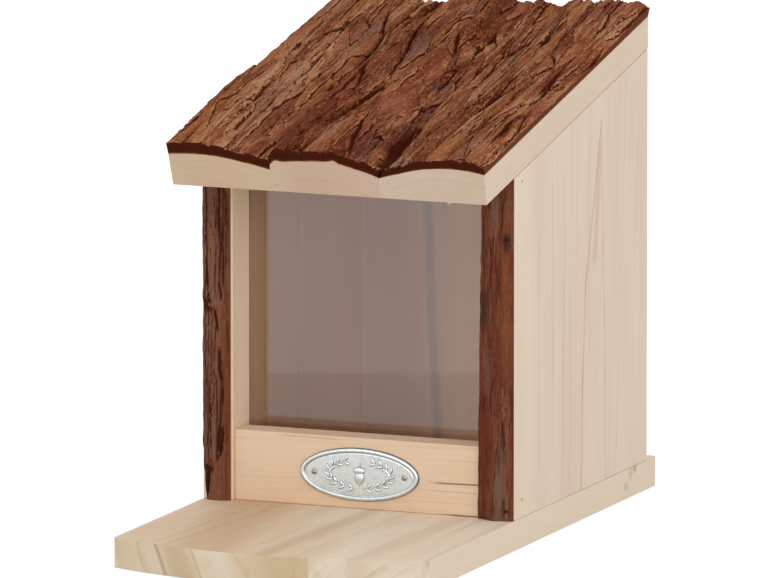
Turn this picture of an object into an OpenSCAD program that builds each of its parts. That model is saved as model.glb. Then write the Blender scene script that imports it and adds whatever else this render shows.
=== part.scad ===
// Squirrel feeder: a pine box with a clear front pane, a long feeding platform
// with a bowed front edge and a hinged roof of three bark-covered slabs.
// Frame: +Z up, +X to the feeder's left-to-right, -Y to the front.
// The origin is the middle of the underside of the base board.

/* [Base board] */
// Width of the base board and of the box over its side walls
body_w = 168; // [150:1:190]
// Length of the base board from the middle of its bowed front edge to the back
base_l = 328; // [300:1:360]
// Rise of the bow in the base board's front edge
front_bow = 17; // [4:1:24]
// Thickness of the base board
base_t = 15; // [12:0.5:20]
// Width of the wider of the two glued base planks
wide_plank_w = 110.5; // [90:0.5:115]
// Radius of the base board's two rear corners in plan
base_corner_r = 2.5; // [1:0.5:6]
// Reach of the base board behind the walls
rear_reach = 14; // [11:0.5:25]

/* [Box] */
// Depth of a side wall from its front edge to its back edge
wall_d = 182; // [160:1:200]
// Thickness of a side wall
wall_t = 16; // [13:0.5:20]
// Height of a side wall at its front edge
wall_front_h = 173; // [150:1:200]
// Depth of the stile that is glued to the front of each wall panel
stile_d = 22; // [19:0.5:28]
// Thickness of the back panel
back_t = 9; // [8:0.5:14]
// Distance between the two fixing holes in the back panel
fixing_spacing = 45; // [36:1:90]
// Height of the fixing holes above the base board
fixing_h = 127; // [60:1:140]
// Radius of a fixing hole
fixing_r = 2.25; // [2:0.25:3.5]

/* [Front] */
// Height of the front rail
rail_h = 36; // [32:1:50]
// Thickness of the front rail and the top rail
rail_t = 15; // [10:0.5:16]
// Step back of the rails from the front edge of the walls
rail_setback = 2; // [0.5:0.5:3]
// Height of the top rail at its front face
top_rail_h = 12; // [8:0.5:16]
// Thickness of the clear pane
pane_t = 2; // [1.5:0.5:3]
// Depth of the grooves that hold the pane
groove_d = 5; // [3:0.5:7]
// Gap round the pane in its grooves
pane_gap = 0.3; // [0.1:0.05:0.5]
// Gap between the top of the pane and the closed roof
pane_top_gap = 1; // [0.5:0.25:3]

/* [Bark strips] */
// Thickness of a bark strip at its crown
strip_t = 4; // [3:0.25:6]
// Width of the left bark strip
left_strip_w = 14.5; // [11:0.5:16]
// Width of the right bark strip
right_strip_w = 17; // [14:0.5:18]
// Step in of a bark strip from the outer face of its wall
strip_inset = 0.5; // [0:0.25:2]
// Radius of the round outer face of a bark strip
strip_round_r = 17; // [13:0.5:30]

/* [Roof] */
// Slope of the roof in degrees
roof_pitch = 12; // [6:0.5:18]
// Reach of the roof's underside in front of the walls
roof_reach = 38; // [25:1:55]
// Gap between the closed roof and the walls under it
lid_gap = 0.3; // [0.3:0.05:0.6]
// Width of the left slab
left_slab_w = 53; // [47:1:60]
// Width of the middle slab
middle_slab_w = 58; // [48:1:64]
// Wood height of the left slab at its left edge, crown and right edge
left_slab_h = [16.2, 17, 10.9]; // [10:0.1:20]
// Wood height of the middle slab at its left edge, crown and right edge
middle_slab_h = [14.2, 18, 10.2]; // [10:0.1:20]
// Wood height of the right slab at its left edge, crown and right edge
right_slab_h = [10, 17.8, 15.8]; // [10:0.1:20]
// Place of the left slab's crown, from its left edge
left_crown = 14; // [10:1:30]
// Place of the middle slab's crown, from its left edge
middle_crown = 26; // [15:1:35]
// Place of the right slab's crown, from its right edge
right_crown = 18; // [10:1:30]
// Thickness of the bark on its ridges
bark_t = 5.5; // [4:0.25:8]
// Depth of the fissures between the bark's ridges
fissure_depth = 2.2; // [1:0.1:3]
// Distance between two fissures
fissure_pitch = 11; // [8:0.5:16]

/* [Name plate] */
// Length of the oval plate
plate_l = 64; // [50:1:80]
// Height of the oval plate
plate_h = 27; // [20:1:30]
// Thickness of the plate's field
plate_t = 0.8; // [0.6:0.1:1.5]
// Width of the plate's raised rim
plate_rim_w = 2.2; // [1.5:0.1:3]
// Rise of the rim above the field
plate_rim_h = 0.7; // [0.4:0.1:1.2]
// Distance between the plate's two nails
plate_nail_spacing = 48.6; // [36:0.2:50]

/* [Hinges] */
// Length of a hinge along its pin
hinge_l = 25; // [20:1:30]
// Height of a hinge leaf from the pin's axis
leaf_h = 13.5; // [12:0.5:15]
// Thickness of a hinge leaf
leaf_t = 1.2; // [1:0.1:1.6]
// Radius of a hinge pin
pin_r = 1.25; // [1:0.05:1.5]
// Radius of a hinge knuckle
knuckle_r = 2.6; // [2.2:0.1:3]
// Step in of a hinge from the inner face of its wall
hinge_inset = 1.5; // [0.5:0.5:6]
// Distance between the two screws of a leaf
leaf_screw_spacing = 16; // [12:0.5:18]
// Distance of the leaf screws from the pin's axis
leaf_screw_out = 9; // [8.5:0.25:9.5]

/* [Fasteners] */
// Length of the screws under the base board
base_screw_l = 32; // [26:1:38]
// Radius of the shank of a base screw
base_screw_r = 1.75; // [1.25:0.25:2]
// Length of the screws in the hinge leaves
leaf_screw_l = 8; // [6:0.5:8.5]
// Radius of the shank of a leaf screw
leaf_screw_r = 1.2; // [1:0.1:1.4]
// Length of the brads that hold the rails
brad_l = 28; // [22:1:34]
// Radius of a brad, and of the shank of a small nail
brad_r = 0.7; // [0.5:0.05:0.9]
// Length of the small nails in the plate and the bark strips
nail_l = 12; // [9:0.5:13]
// Radius of a small nail's domed head
nail_head_r = 1.5; // [1.2:0.1:2]
// Gap between a fastener and the hole that it is driven into
driven_gap = 0.05; // [0.02:0.01:0.1]
// Running gap between a hinge pin and the turning knuckle
pin_gap = 0.05; // [0.02:0.01:0.1]

/* [Hidden] */
$fn = 48;

// Colours of the materials
pine = "#d8c3a0";
pine_rail = "#d9b68d";
bark_brown = "#6b3a28";
clear_pane = [0.85, 0.88, 0.88, 0.35];
zinc = "#c3c6c6";
steel = "#a9abad";

// Places along Y
base_front_y = -base_l / 2;
base_rear_y = base_l / 2;
wall_rear_y = base_rear_y - rear_reach;
wall_front_y = wall_rear_y - wall_d;
stile_rear_y = wall_front_y + stile_d;
rail_front_y = wall_front_y + rail_setback;
rail_mid_y = rail_front_y + rail_t / 2;
back_front_y = wall_rear_y - back_t;
eave_y = wall_front_y - roof_reach;

// Places along X
half_w = body_w / 2;
inner_half_w = half_w - wall_t;
base_joint_x = -half_w + wide_plank_w;
hinge_x = inner_half_w - hinge_inset - hinge_l / 2;

// A cutting block that is larger than the feeder on every side
beyond = 2 * (base_l + wall_front_h);
// How far a cutter runs past the face that it opens
over = 1;

// Height of the top of the walls, which slopes as the roof does
function wall_top(y) = base_t + wall_front_h + (y - wall_front_y) * tan(roof_pitch);

// The hinge axis lies behind the back face, at the seam between walls and roof
knuckle_gap = 0.3;
axis_y = wall_rear_y + knuckle_r + knuckle_gap;
axis_z = wall_top(wall_rear_y) + lid_gap / 2;

// A block between two corners
module block(low, high) {
  translate(low) cube(high - low);
}

// A board on edge between two X places, cut to the slope of the roof at its top
module sloped_board(x0, x1, y0, y1, z0, top_drop = 0) {
  translate([x0, 0, 0]) rotate([90, 0, 90]) linear_extrude(x1 - x0)
    polygon([
      [y0, z0], [y1, z0],
      [y1, wall_top(y1) - top_drop], [y0, wall_top(y0) - top_drop]
    ]);
}

// Fasteners
// The cross recess of a screw's head: reach and width as shares of the head's radius, depth as one of its height
recess_reach = 0.55;
recess_width = 0.32;
recess_depth = 0.7;

// A screw with a countersunk head, its head's face at the origin, pointing along +Z.
// With a gap it is the hole for that screw, which has a mouth in place of the recess.
module countersunk_screw(length, shank_r, gap = 0) {
  head_r = 2 * shank_r;
  head_h = shank_r;
  arm = [2 * recess_reach * head_r, recess_width * head_r, 2 * recess_depth * head_h];
  difference() {
    union() {
      cylinder(r1 = head_r + gap, r2 = shank_r + gap, h = head_h + gap);
      cylinder(r = shank_r + gap, h = length + gap);
      if (gap > 0) translate([0, 0, -over]) cylinder(r = head_r + gap, h = over + gap);
    }
    if (gap == 0)
      for (turn = [0, 90]) rotate([0, 0, turn]) cube(arm, center = true);
  }
}

// A small nail with a domed head, seated at the origin, pointing along +Y
dome_share = 0.55;
module domed_nail(length, gap = 0) {
  dome_h = dome_share * nail_head_r;
  ball_r = (nail_head_r * nail_head_r + dome_h * dome_h) / (2 * dome_h);
  rotate([-90, 0, 0]) cylinder(r = brad_r + gap, h = length + gap);
  if (gap == 0) {
    intersection() {
      translate([0, ball_r - dome_h, 0]) sphere(r = ball_r);
      translate([-beyond / 2, -beyond, -beyond / 2]) cube(beyond);
    }
  }
}

base_screw_sink = 0.5;
wall_screw_x = half_w - wall_t / 2;
wall_screw_front = 45;
wall_screw_rear = 35;
cross_screw_x = inner_half_w - 25;

// The screws that are driven up through the base board
module all_base_screws(gap = 0) {
  wall_places = [
    for (side = [-1, 1], y = [wall_front_y + wall_screw_front, wall_rear_y - wall_screw_rear])
      [side * wall_screw_x, y]
  ];
  cross_places = [
    for (side = [-1, 1], y = [rail_mid_y, back_front_y + back_t / 2])
      [side * cross_screw_x, y]
  ];
  for (place = concat(wall_places, cross_places))
    translate([place.x, place.y, base_screw_sink]) countersunk_screw(base_screw_l, base_screw_r, gap);
}

// The brads that are driven through the stiles into the ends of the two rails
rail_brad_up = 9.5;
top_brad_down = 5;
module all_rail_brads(gap = 0) {
  low_z = base_t + rail_brad_up;
  high_z = wall_top(rail_mid_y) - top_brad_down;
  for (side = [-1, 1], z = [low_z, high_z])
    translate([side * (half_w + gap), rail_mid_y, z])
      rotate([0, -side * 90, 0]) cylinder(r = brad_r + gap, h = brad_l + 2 * gap);
}

// The headless nails of the bark strips, near the top and the bottom of each strip's outer edge
strip_nail_low = 5;
strip_nail_high = 31;
strip_nail_in = 3;
function strip_mid_x(side) = side * (half_w - strip_inset - strip_width(side) / 2);
function strip_width(side) = side < 0 ? left_strip_w : right_strip_w;
function strip_skin_y(side, x) =
  wall_front_y - strip_t + strip_round_r - sqrt(pow(strip_round_r, 2) - pow(x - strip_mid_x(side), 2));
module all_strip_nails(gap = 0) {
  mouth = gap > 0 ? over : 0;
  for (side = [-1, 1], z = [base_t + strip_nail_low, wall_top(wall_front_y) - strip_nail_high]) {
    x = side * (half_w - strip_inset - strip_nail_in);
    translate([x, strip_skin_y(side, x) - mouth, z])
      rotate([-90, 0, 0]) cylinder(r = brad_r + gap, h = nail_l + strip_t + mouth + gap);
  }
}

// The two nails of the name plate
plate_drop = 0.5;
plate_z = base_t + rail_h / 2 - plate_drop;
module all_plate_nails(gap = 0) {
  for (side = [-1, 1])
    translate([side * plate_nail_spacing / 2, rail_front_y - plate_t, plate_z]) domed_nail(nail_l, gap);
}

// The screws of one row of leaves: up is 1 for the roof's leaves and -1 for the box's
module leaf_screws(up, gap = 0) {
  for (side = [-1, 1], end = [-1, 1])
    translate([
      side * hinge_x + end * leaf_screw_spacing / 2,
      wall_rear_y + leaf_t,
      axis_z + up * leaf_screw_out
    ]) rotate([90, 0, 0]) countersunk_screw(leaf_screw_l, leaf_screw_r, gap);
}

// Base board
bow_r = (pow(half_w, 2) + pow(front_bow, 2)) / (2 * front_bow);

module base_outline() {
  round_y = base_rear_y - base_corner_r;
  translate([-half_w, base_front_y]) square([body_w, base_l - base_corner_r]);
  translate([-half_w + base_corner_r, base_front_y]) square([body_w - 2 * base_corner_r, base_l]);
  for (side = [-1, 1])
    translate([side * (half_w - base_corner_r), round_y]) circle(r = base_corner_r);
}

module base_plank(x0, x1) {
  color(pine) difference() {
    intersection() {
      linear_extrude(base_t) base_outline();
      block([x0, base_front_y - over, -over], [x1, base_rear_y + over, base_t + over]);
      translate([0, base_front_y + bow_r, -over]) cylinder(r = bow_r, h = base_t + 2 * over, $fn = 180);
    }
    all_base_screws(driven_gap);
  }
}

module base_plank_wide() { base_plank(-half_w - over, base_joint_x); }
module base_plank_narrow() { base_plank(base_joint_x, half_w + over); }

// Box
module pane_slot(side) {
  slot_w = pane_t + 2 * pane_gap;
  inner_x = side * inner_half_w;
  bottom_x = side * (inner_half_w + groove_d);
  block(
    [min(inner_x, bottom_x) - (side > 0 ? over : 0), stile_rear_y - over, base_t - over],
    [max(inner_x, bottom_x) + (side < 0 ? over : 0), stile_rear_y + slot_w, beyond]
  );
}

module wall_panel(side) {
  x = [side * inner_half_w, side * half_w];
  color(pine) difference() {
    sloped_board(min(x), max(x), stile_rear_y, wall_rear_y, base_t);
    pane_slot(side);
    all_base_screws(driven_gap);
  }
}

module front_stile(side) {
  x = [side * inner_half_w, side * half_w];
  color(pine) difference() {
    sloped_board(min(x), max(x), wall_front_y, stile_rear_y, base_t);
    all_rail_brads(driven_gap);
    all_strip_nails(driven_gap);
  }
}

module left_wall_panel() { wall_panel(-1); }
module right_wall_panel() { wall_panel(1); }
module left_front_stile() { front_stile(-1); }
module right_front_stile() { front_stile(1); }

module back_panel() {
  color(pine) difference() {
    sloped_board(-inner_half_w, inner_half_w, back_front_y, wall_rear_y, base_t);
    all_base_screws(driven_gap);
    leaf_screws(-1, driven_gap);
    for (side = [-1, 1])
      translate([side * fixing_spacing / 2, wall_rear_y + over, base_t + fixing_h])
        rotate([90, 0, 0]) cylinder(r = fixing_r, h = back_t + 2 * over);
  }
}

// Front
module front_rail() {
  color(pine_rail) difference() {
    block([-inner_half_w, rail_front_y, base_t], [inner_half_w, rail_front_y + rail_t, base_t + rail_h]);
    all_base_screws(driven_gap);
    all_rail_brads(driven_gap);
    all_plate_nails(driven_gap);
  }
}

module top_rail() {
  bottom_z = wall_top(rail_front_y) - top_rail_h;
  color(pine) difference() {
    sloped_board(-inner_half_w, inner_half_w, rail_front_y, rail_front_y + rail_t, bottom_z);
    all_rail_brads(driven_gap);
  }
}

module window_pane() {
  pane_half_w = inner_half_w + groove_d - pane_gap;
  pane_y = stile_rear_y + pane_gap;
  color(clear_pane)
    block([-pane_half_w, pane_y, base_t], [pane_half_w, pane_y + pane_t, wall_top(pane_y) - pane_top_gap]);
}

// A strip of bark with a round outer face, on the front edge of a wall
module bark_strip(side) {
  w = strip_width(side);
  mid = strip_mid_x(side);
  color(bark_brown) difference() {
    intersection() {
      sloped_board(mid - w / 2, mid + w / 2, wall_front_y - strip_t, wall_front_y, base_t);
      translate([mid, wall_front_y - strip_t + strip_round_r, 0]) cylinder(r = strip_round_r, h = beyond);
    }
    all_strip_nails(driven_gap);
  }
}

module left_bark_strip() { bark_strip(-1); }
module right_bark_strip() { bark_strip(1); }

// Name plate: an oval with a raised rim
function oval(length, height) = [
  for (i = [0 : 71]) [length / 2 * cos(i * 5), height / 2 * sin(i * 5)]
];

module name_plate() {
  color(zinc) difference() {
    translate([0, rail_front_y, plate_z]) rotate([90, 0, 0]) difference() {
      linear_extrude(plate_t + plate_rim_h) polygon(oval(plate_l, plate_h));
      translate([0, 0, plate_t]) linear_extrude(plate_rim_h + over)
        polygon(oval(plate_l - 2 * plate_rim_w, plate_h - 2 * plate_rim_w));
    }
    all_plate_nails(driven_gap);
  }
}

// Roof
// A slab is [left edge, right edge, crown's place, heights at left edge, crown and right edge]
left_slab = [-half_w, -half_w + left_slab_w, -half_w + left_crown, left_slab_h];
middle_slab = [left_slab[1], left_slab[1] + middle_slab_w, left_slab[1] + middle_crown, middle_slab_h];
right_slab = [middle_slab[1], half_w, half_w - right_crown, right_slab_h];

// Height of a slab's wood at x: a parabola falls from the crown to each edge
function slab_top(slab, x) =
  let (
    edge = x < slab[2] ? 0 : 1,
    edge_h = slab[3][2 * edge],
    share = (x - slab[2]) / (slab[edge] - slab[2])
  ) slab[3][1] - (slab[3][1] - edge_h) * share * share;

// Thickness of the bark at x: narrow fissures between flat ridges
function bark_at(slab, x) =
  bark_t - fissure_depth * pow(abs(cos(180 * (x - slab[0]) / fissure_pitch)), 6);

slab_steps = 40;
function slab_xs(slab) = [for (i = [0 : slab_steps]) slab[0] + (slab[1] - slab[0]) * i / slab_steps];
function reversed(list) = [for (i = [len(list) - 1 : -1 : 0]) list[i]];

function wood_outline(slab) = concat(
  [[slab[0], 0], [slab[1], 0]],
  [for (x = reversed(slab_xs(slab))) [x, slab_top(slab, x)]]
);
function bark_outline(slab) = concat(
  [for (x = slab_xs(slab)) [x, slab_top(slab, x)]],
  [for (x = reversed(slab_xs(slab))) [x, slab_top(slab, x) + bark_at(slab, x)]]
);

// Runs an outline of the eave up the slope and cuts it plumb, flush with the back of the walls
module up_the_slope(outline) {
  difference() {
    translate([0, eave_y, wall_top(eave_y) + lid_gap]) rotate([roof_pitch, 0, 0])
      translate([0, beyond, 0]) rotate([90, 0, 0]) linear_extrude(beyond) polygon(outline);
    block([-beyond, wall_rear_y, 0], [beyond, beyond, beyond]);
  }
}

module roof_slab(slab) {
  color(pine) difference() {
    up_the_slope(wood_outline(slab));
    leaf_screws(1, driven_gap);
  }
}

module roof_bark(slab) {
  color(bark_brown) up_the_slope(bark_outline(slab));
}

module roof_slab_left() { roof_slab(left_slab); }
module roof_slab_middle() { roof_slab(middle_slab); }
module roof_slab_right() { roof_slab(right_slab); }
module roof_bark_left() { roof_bark(left_slab); }
module roof_bark_middle() { roof_bark(middle_slab); }
module roof_bark_right() { roof_bark(right_slab); }

// Hinges: two knuckles on the box's leaf, one between them on the roof's leaf
knuckle_play = 0.2;
middle_knuckle_l = hinge_l / 3;
leaf_clear = knuckle_r + knuckle_gap;

// A tube along X between two places, on the hinge axis
module along_axis(x0, x1, r) {
  translate([x0, axis_y, axis_z]) rotate([0, 90, 0]) cylinder(r = r, h = x1 - x0);
}

// The flat of a leaf and the stretches of it that run in to the knuckles; up is 1 or -1
module leaf_plate(up, stretches) {
  far_z = axis_z + up * leaf_h;
  near_z = axis_z + up * leaf_clear;
  block(
    [-hinge_l / 2, wall_rear_y, min(far_z, near_z)],
    [hinge_l / 2, wall_rear_y + leaf_t, max(far_z, near_z)]
  );
  for (s = stretches) {
    block([s[0], wall_rear_y, min(axis_z, near_z)], [s[1], wall_rear_y + leaf_t, max(axis_z, near_z)]);
    along_axis(s[0], s[1], knuckle_r);
  }
}

outer_knuckles = [
  [-hinge_l / 2, -middle_knuckle_l / 2 - knuckle_play],
  [middle_knuckle_l / 2 + knuckle_play, hinge_l / 2]
];
middle_knuckle = [[-middle_knuckle_l / 2, middle_knuckle_l / 2]];

module hinge_leaf(side, up, stretches, bore_gap) {
  color(steel) difference() {
    translate([side * hinge_x, 0, 0]) leaf_plate(up, stretches);
    translate([side * hinge_x, 0, 0]) along_axis(-hinge_l, hinge_l, pin_r + bore_gap);
    leaf_screws(up, driven_gap);
  }
}

pin_end = 0.8;
pin_rim = 0.6;
module hinge_pin(side) {
  color(steel) translate([side * hinge_x, 0, 0]) {
    along_axis(-hinge_l / 2, hinge_l / 2, pin_r);
    for (end = [-1, 1]) {
      x = end * (hinge_l / 2 + pin_end / 2);
      along_axis(x - pin_end / 2, x + pin_end / 2, pin_r + pin_rim);
    }
  }
}

module left_hinge_body_leaf() { hinge_leaf(-1, -1, outer_knuckles, driven_gap); }
module right_hinge_body_leaf() { hinge_leaf(1, -1, outer_knuckles, driven_gap); }
module left_hinge_roof_leaf() { hinge_leaf(-1, 1, middle_knuckle, pin_gap); }
module right_hinge_roof_leaf() { hinge_leaf(1, 1, middle_knuckle, pin_gap); }
module left_hinge_pin() { hinge_pin(-1); }
module right_hinge_pin() { hinge_pin(1); }

// Groups of fasteners
module plate_nails() { color(steel) all_plate_nails(); }
module strip_nails() { color(steel) all_strip_nails(); }
module rail_brads() { color(steel) all_rail_brads(); }
module base_screws() { color(steel) all_base_screws(); }
module hinge_body_screws() { color(steel) leaf_screws(-1); }
module hinge_roof_screws() { color(steel) leaf_screws(1); }

base_plank_wide();
base_plank_narrow();
left_wall_panel();
right_wall_panel();
left_front_stile();
right_front_stile();
back_panel();
front_rail();
top_rail();
window_pane();
left_bark_strip();
right_bark_strip();
name_plate();
plate_nails();
strip_nails();
rail_brads();
base_screws();
left_hinge_body_leaf();
right_hinge_body_leaf();
left_hinge_pin();
right_hinge_pin();
hinge_body_screws();
roof_slab_left();
roof_slab_middle();
roof_slab_right();
roof_bark_left();
roof_bark_middle();
roof_bark_right();
left_hinge_roof_leaf();
right_hinge_roof_leaf();
hinge_roof_screws();
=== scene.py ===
"""Dresses the squirrel feeder: pine boards, sculpted bark, a clear pane, a stamped plate and steel fittings.

Sizes in the classes are in millimetres and meshes are in metres. The frame is the part's own: +Z up, +X to the
right, -Y to the front, with the origin in the middle of the underside of the base board.
"""
from __future__ import annotations

import logging
import math
from dataclasses import dataclass, replace
from enum import Enum
from typing import Any, Callable, Iterable, NamedTuple, Sequence, Union

import bmesh
import bpy
from bmesh.types import BMEdge, BMesh, BMVert
from mathutils import Matrix, Vector, noise


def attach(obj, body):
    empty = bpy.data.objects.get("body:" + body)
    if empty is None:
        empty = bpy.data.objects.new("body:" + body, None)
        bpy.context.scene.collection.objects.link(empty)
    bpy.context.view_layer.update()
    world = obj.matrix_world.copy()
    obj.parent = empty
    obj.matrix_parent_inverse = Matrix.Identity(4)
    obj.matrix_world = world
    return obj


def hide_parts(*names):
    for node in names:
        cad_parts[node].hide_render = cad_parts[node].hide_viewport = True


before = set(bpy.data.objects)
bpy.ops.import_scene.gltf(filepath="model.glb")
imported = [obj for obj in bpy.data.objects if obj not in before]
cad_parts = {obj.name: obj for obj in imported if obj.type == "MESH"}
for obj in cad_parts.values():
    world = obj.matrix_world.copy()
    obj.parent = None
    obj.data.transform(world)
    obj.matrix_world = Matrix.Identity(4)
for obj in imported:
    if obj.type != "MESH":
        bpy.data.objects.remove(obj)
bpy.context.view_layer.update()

LOG = logging.getLogger("feeder")
MM = 0.001
# Half the width of the base board and of the roof in millimetres, and the roof's slope in degrees.
HALF_WIDTH = 84.0
ROOF_PITCH = 12.0
# Places that are closer than this, in millimetres, count as one.
CLOSE = 0.05
# The gap under a piece of bark and its least thickness, in millimetres.
BARK_GAP = 0.02
BARK_LEAST = 0.7
# The largest angles inside a flat face, along a round wall and over a smooth edge, and the least one that is rounded.
FLAT, ROUND, SMOOTH, SHARP = (math.radians(angle) for angle in (0.4, 28.0, 30.0, 40.0))
WHITE = (1.0, 1.0, 1.0)

Colour = tuple[float, float, float]
Point = tuple[float, float, float]
Line = tuple[tuple[float, float], ...]
Operand = Union["Sock", float]
Tint = Union["Sock", Colour]
Key = Union[int, str]
Verts = list[BMVert]
Layers = dict[str, bmesh.types.BMLayerItem]


class Body(Enum):
    """The rigid bodies that pieces ride on."""

    BOX = "box"
    ROOF = "roof"


class Slot(Enum):
    """The record's material slots."""

    PINE = "pine"
    RAIL = "pine_rail"
    SLAB = "pine_slab"
    BARK = "bark"
    ACRYLIC = "clear_acrylic"
    PLATE = "plate_metal"
    STEEL = "zinc_steel"


class Make(Enum):
    """How a piece is made from the CAD node that it stands for; the word ends the piece's name."""

    DRESSED = "dressed"
    SCULPTED = "sculpted"
    SHEET = "sheet"
    STAMPED = "stamped"
    DOMED = "domed"


class Hue(Enum):
    """The colours that places on bark drift to; each is a number layer of the mesh."""

    ORANGE = "orange"
    RED = "red"
    GREY = "grey"
    GOLD = "gold"
    # Painted shade: patches of this layer darken the bark where shade falls, as along the sunken seam of the middle
    # slab.
    PAINTED_SHADE = "painted_shade"


class Grain(Enum):
    """The direction in which a board's fibres run."""

    ACROSS = "x"
    LENGTHWISE = "y"
    UPRIGHT = "z"
    UP_THE_SLOPE = "slope"


def ease(low: float, high: float, value: float) -> float:
    """Smooth step of value from 0 at low to 1 at high.

    Args:
        low: The value that gives 0.
        high: The value that gives 1.
        value: The value to place between them.

    Returns:
        A number from 0 to 1.
    """
    share = min(max((value - low) / (high - low), 0.0), 1.0)
    return share * share * (3.0 - 2.0 * share)


def blend(first: float, second: float, share: float) -> float:
    """Straight-line mix of two numbers."""
    return first + (second - first) * share


def ripple(x: float, y: float, seed: float) -> float:
    """Smooth noise of about -1 to 1 at a place."""
    return noise.noise(Vector((x, y, seed)))


def luck(place: Vector, salt: float) -> float:
    """A fixed pseudo-random number from 0 to 1 for a place."""
    mixed = math.sin(place.x * 12.9898 + place.y * 78.233 + place.z * 37.719 + salt * 4.581) * 43758.5453
    return mixed - math.floor(mixed)


def stepped(points: Line, x: float) -> float:
    """Value at x of a line through points that are sorted by their first number.

    Args:
        points: Pairs of place and value.
        x: The place to read.

    Returns:
        The value there, held level past both ends.
    """
    if x <= points[0][0]:
        return points[0][1]
    for (x0, y0), (x1, y1) in zip(points, points[1:]):
        if x <= x1:
            return blend(y0, y1, (x - x0) / (x1 - x0))
    return points[-1][1]


class Sock:
    """A shader socket that takes part in Python arithmetic."""

    def __init__(self, shader: Shader, socket: bpy.types.NodeSocket) -> None:
        """Keeps the socket and the shader that it belongs to."""
        self.shader = shader
        self.socket = socket

    def _maths(self, operation: str, *values: Operand) -> Sock:
        """Adds a Math node for an operation on values."""
        return self.shader.node("ShaderNodeMath", {"operation": operation}, dict(enumerate(values)))

    def __add__(self, other: Operand) -> Sock:
        """self + other."""
        return self._maths("ADD", self, other)

    __radd__ = __add__

    def __sub__(self, other: Operand) -> Sock:
        """self - other."""
        return self._maths("SUBTRACT", self, other)

    def __rsub__(self, other: Operand) -> Sock:
        """other - self."""
        return self._maths("SUBTRACT", other, self)

    def __mul__(self, other: Operand) -> Sock:
        """self * other."""
        return self._maths("MULTIPLY", self, other)

    __rmul__ = __mul__

    def __truediv__(self, other: Operand) -> Sock:
        """self / other."""
        return self._maths("DIVIDE", self, other)

    def __pow__(self, other: Operand) -> Sock:
        """self to the power other."""
        return self._maths("POWER", self, other)

    def __abs__(self) -> Sock:
        """Size of self without its sign."""
        return self._maths("ABSOLUTE", self)

    def root(self) -> Sock:
        """Square root."""
        return self._maths("SQRT", self)

    def wave(self) -> Sock:
        """Sine of an angle in radians."""
        return self._maths("SINE", self)

    def whole(self) -> Sock:
        """Largest whole number that isn't above self."""
        return self._maths("FLOOR", self)

    def rest(self) -> Sock:
        """What is left above the whole number."""
        return self._maths("FRACT", self)

    def larger(self, other: Operand) -> Sock:
        """The larger of two values."""
        return self._maths("MAXIMUM", self, other)

    def ease(self, low: float, high: float) -> Sock:
        """Smooth step from 0 at low to 1 at high."""
        inputs = {"Value": self, "From Min": low, "From Max": high}
        return self.shader.node("ShaderNodeMapRange", {"interpolation_type": "SMOOTHSTEP"}, inputs)


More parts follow.
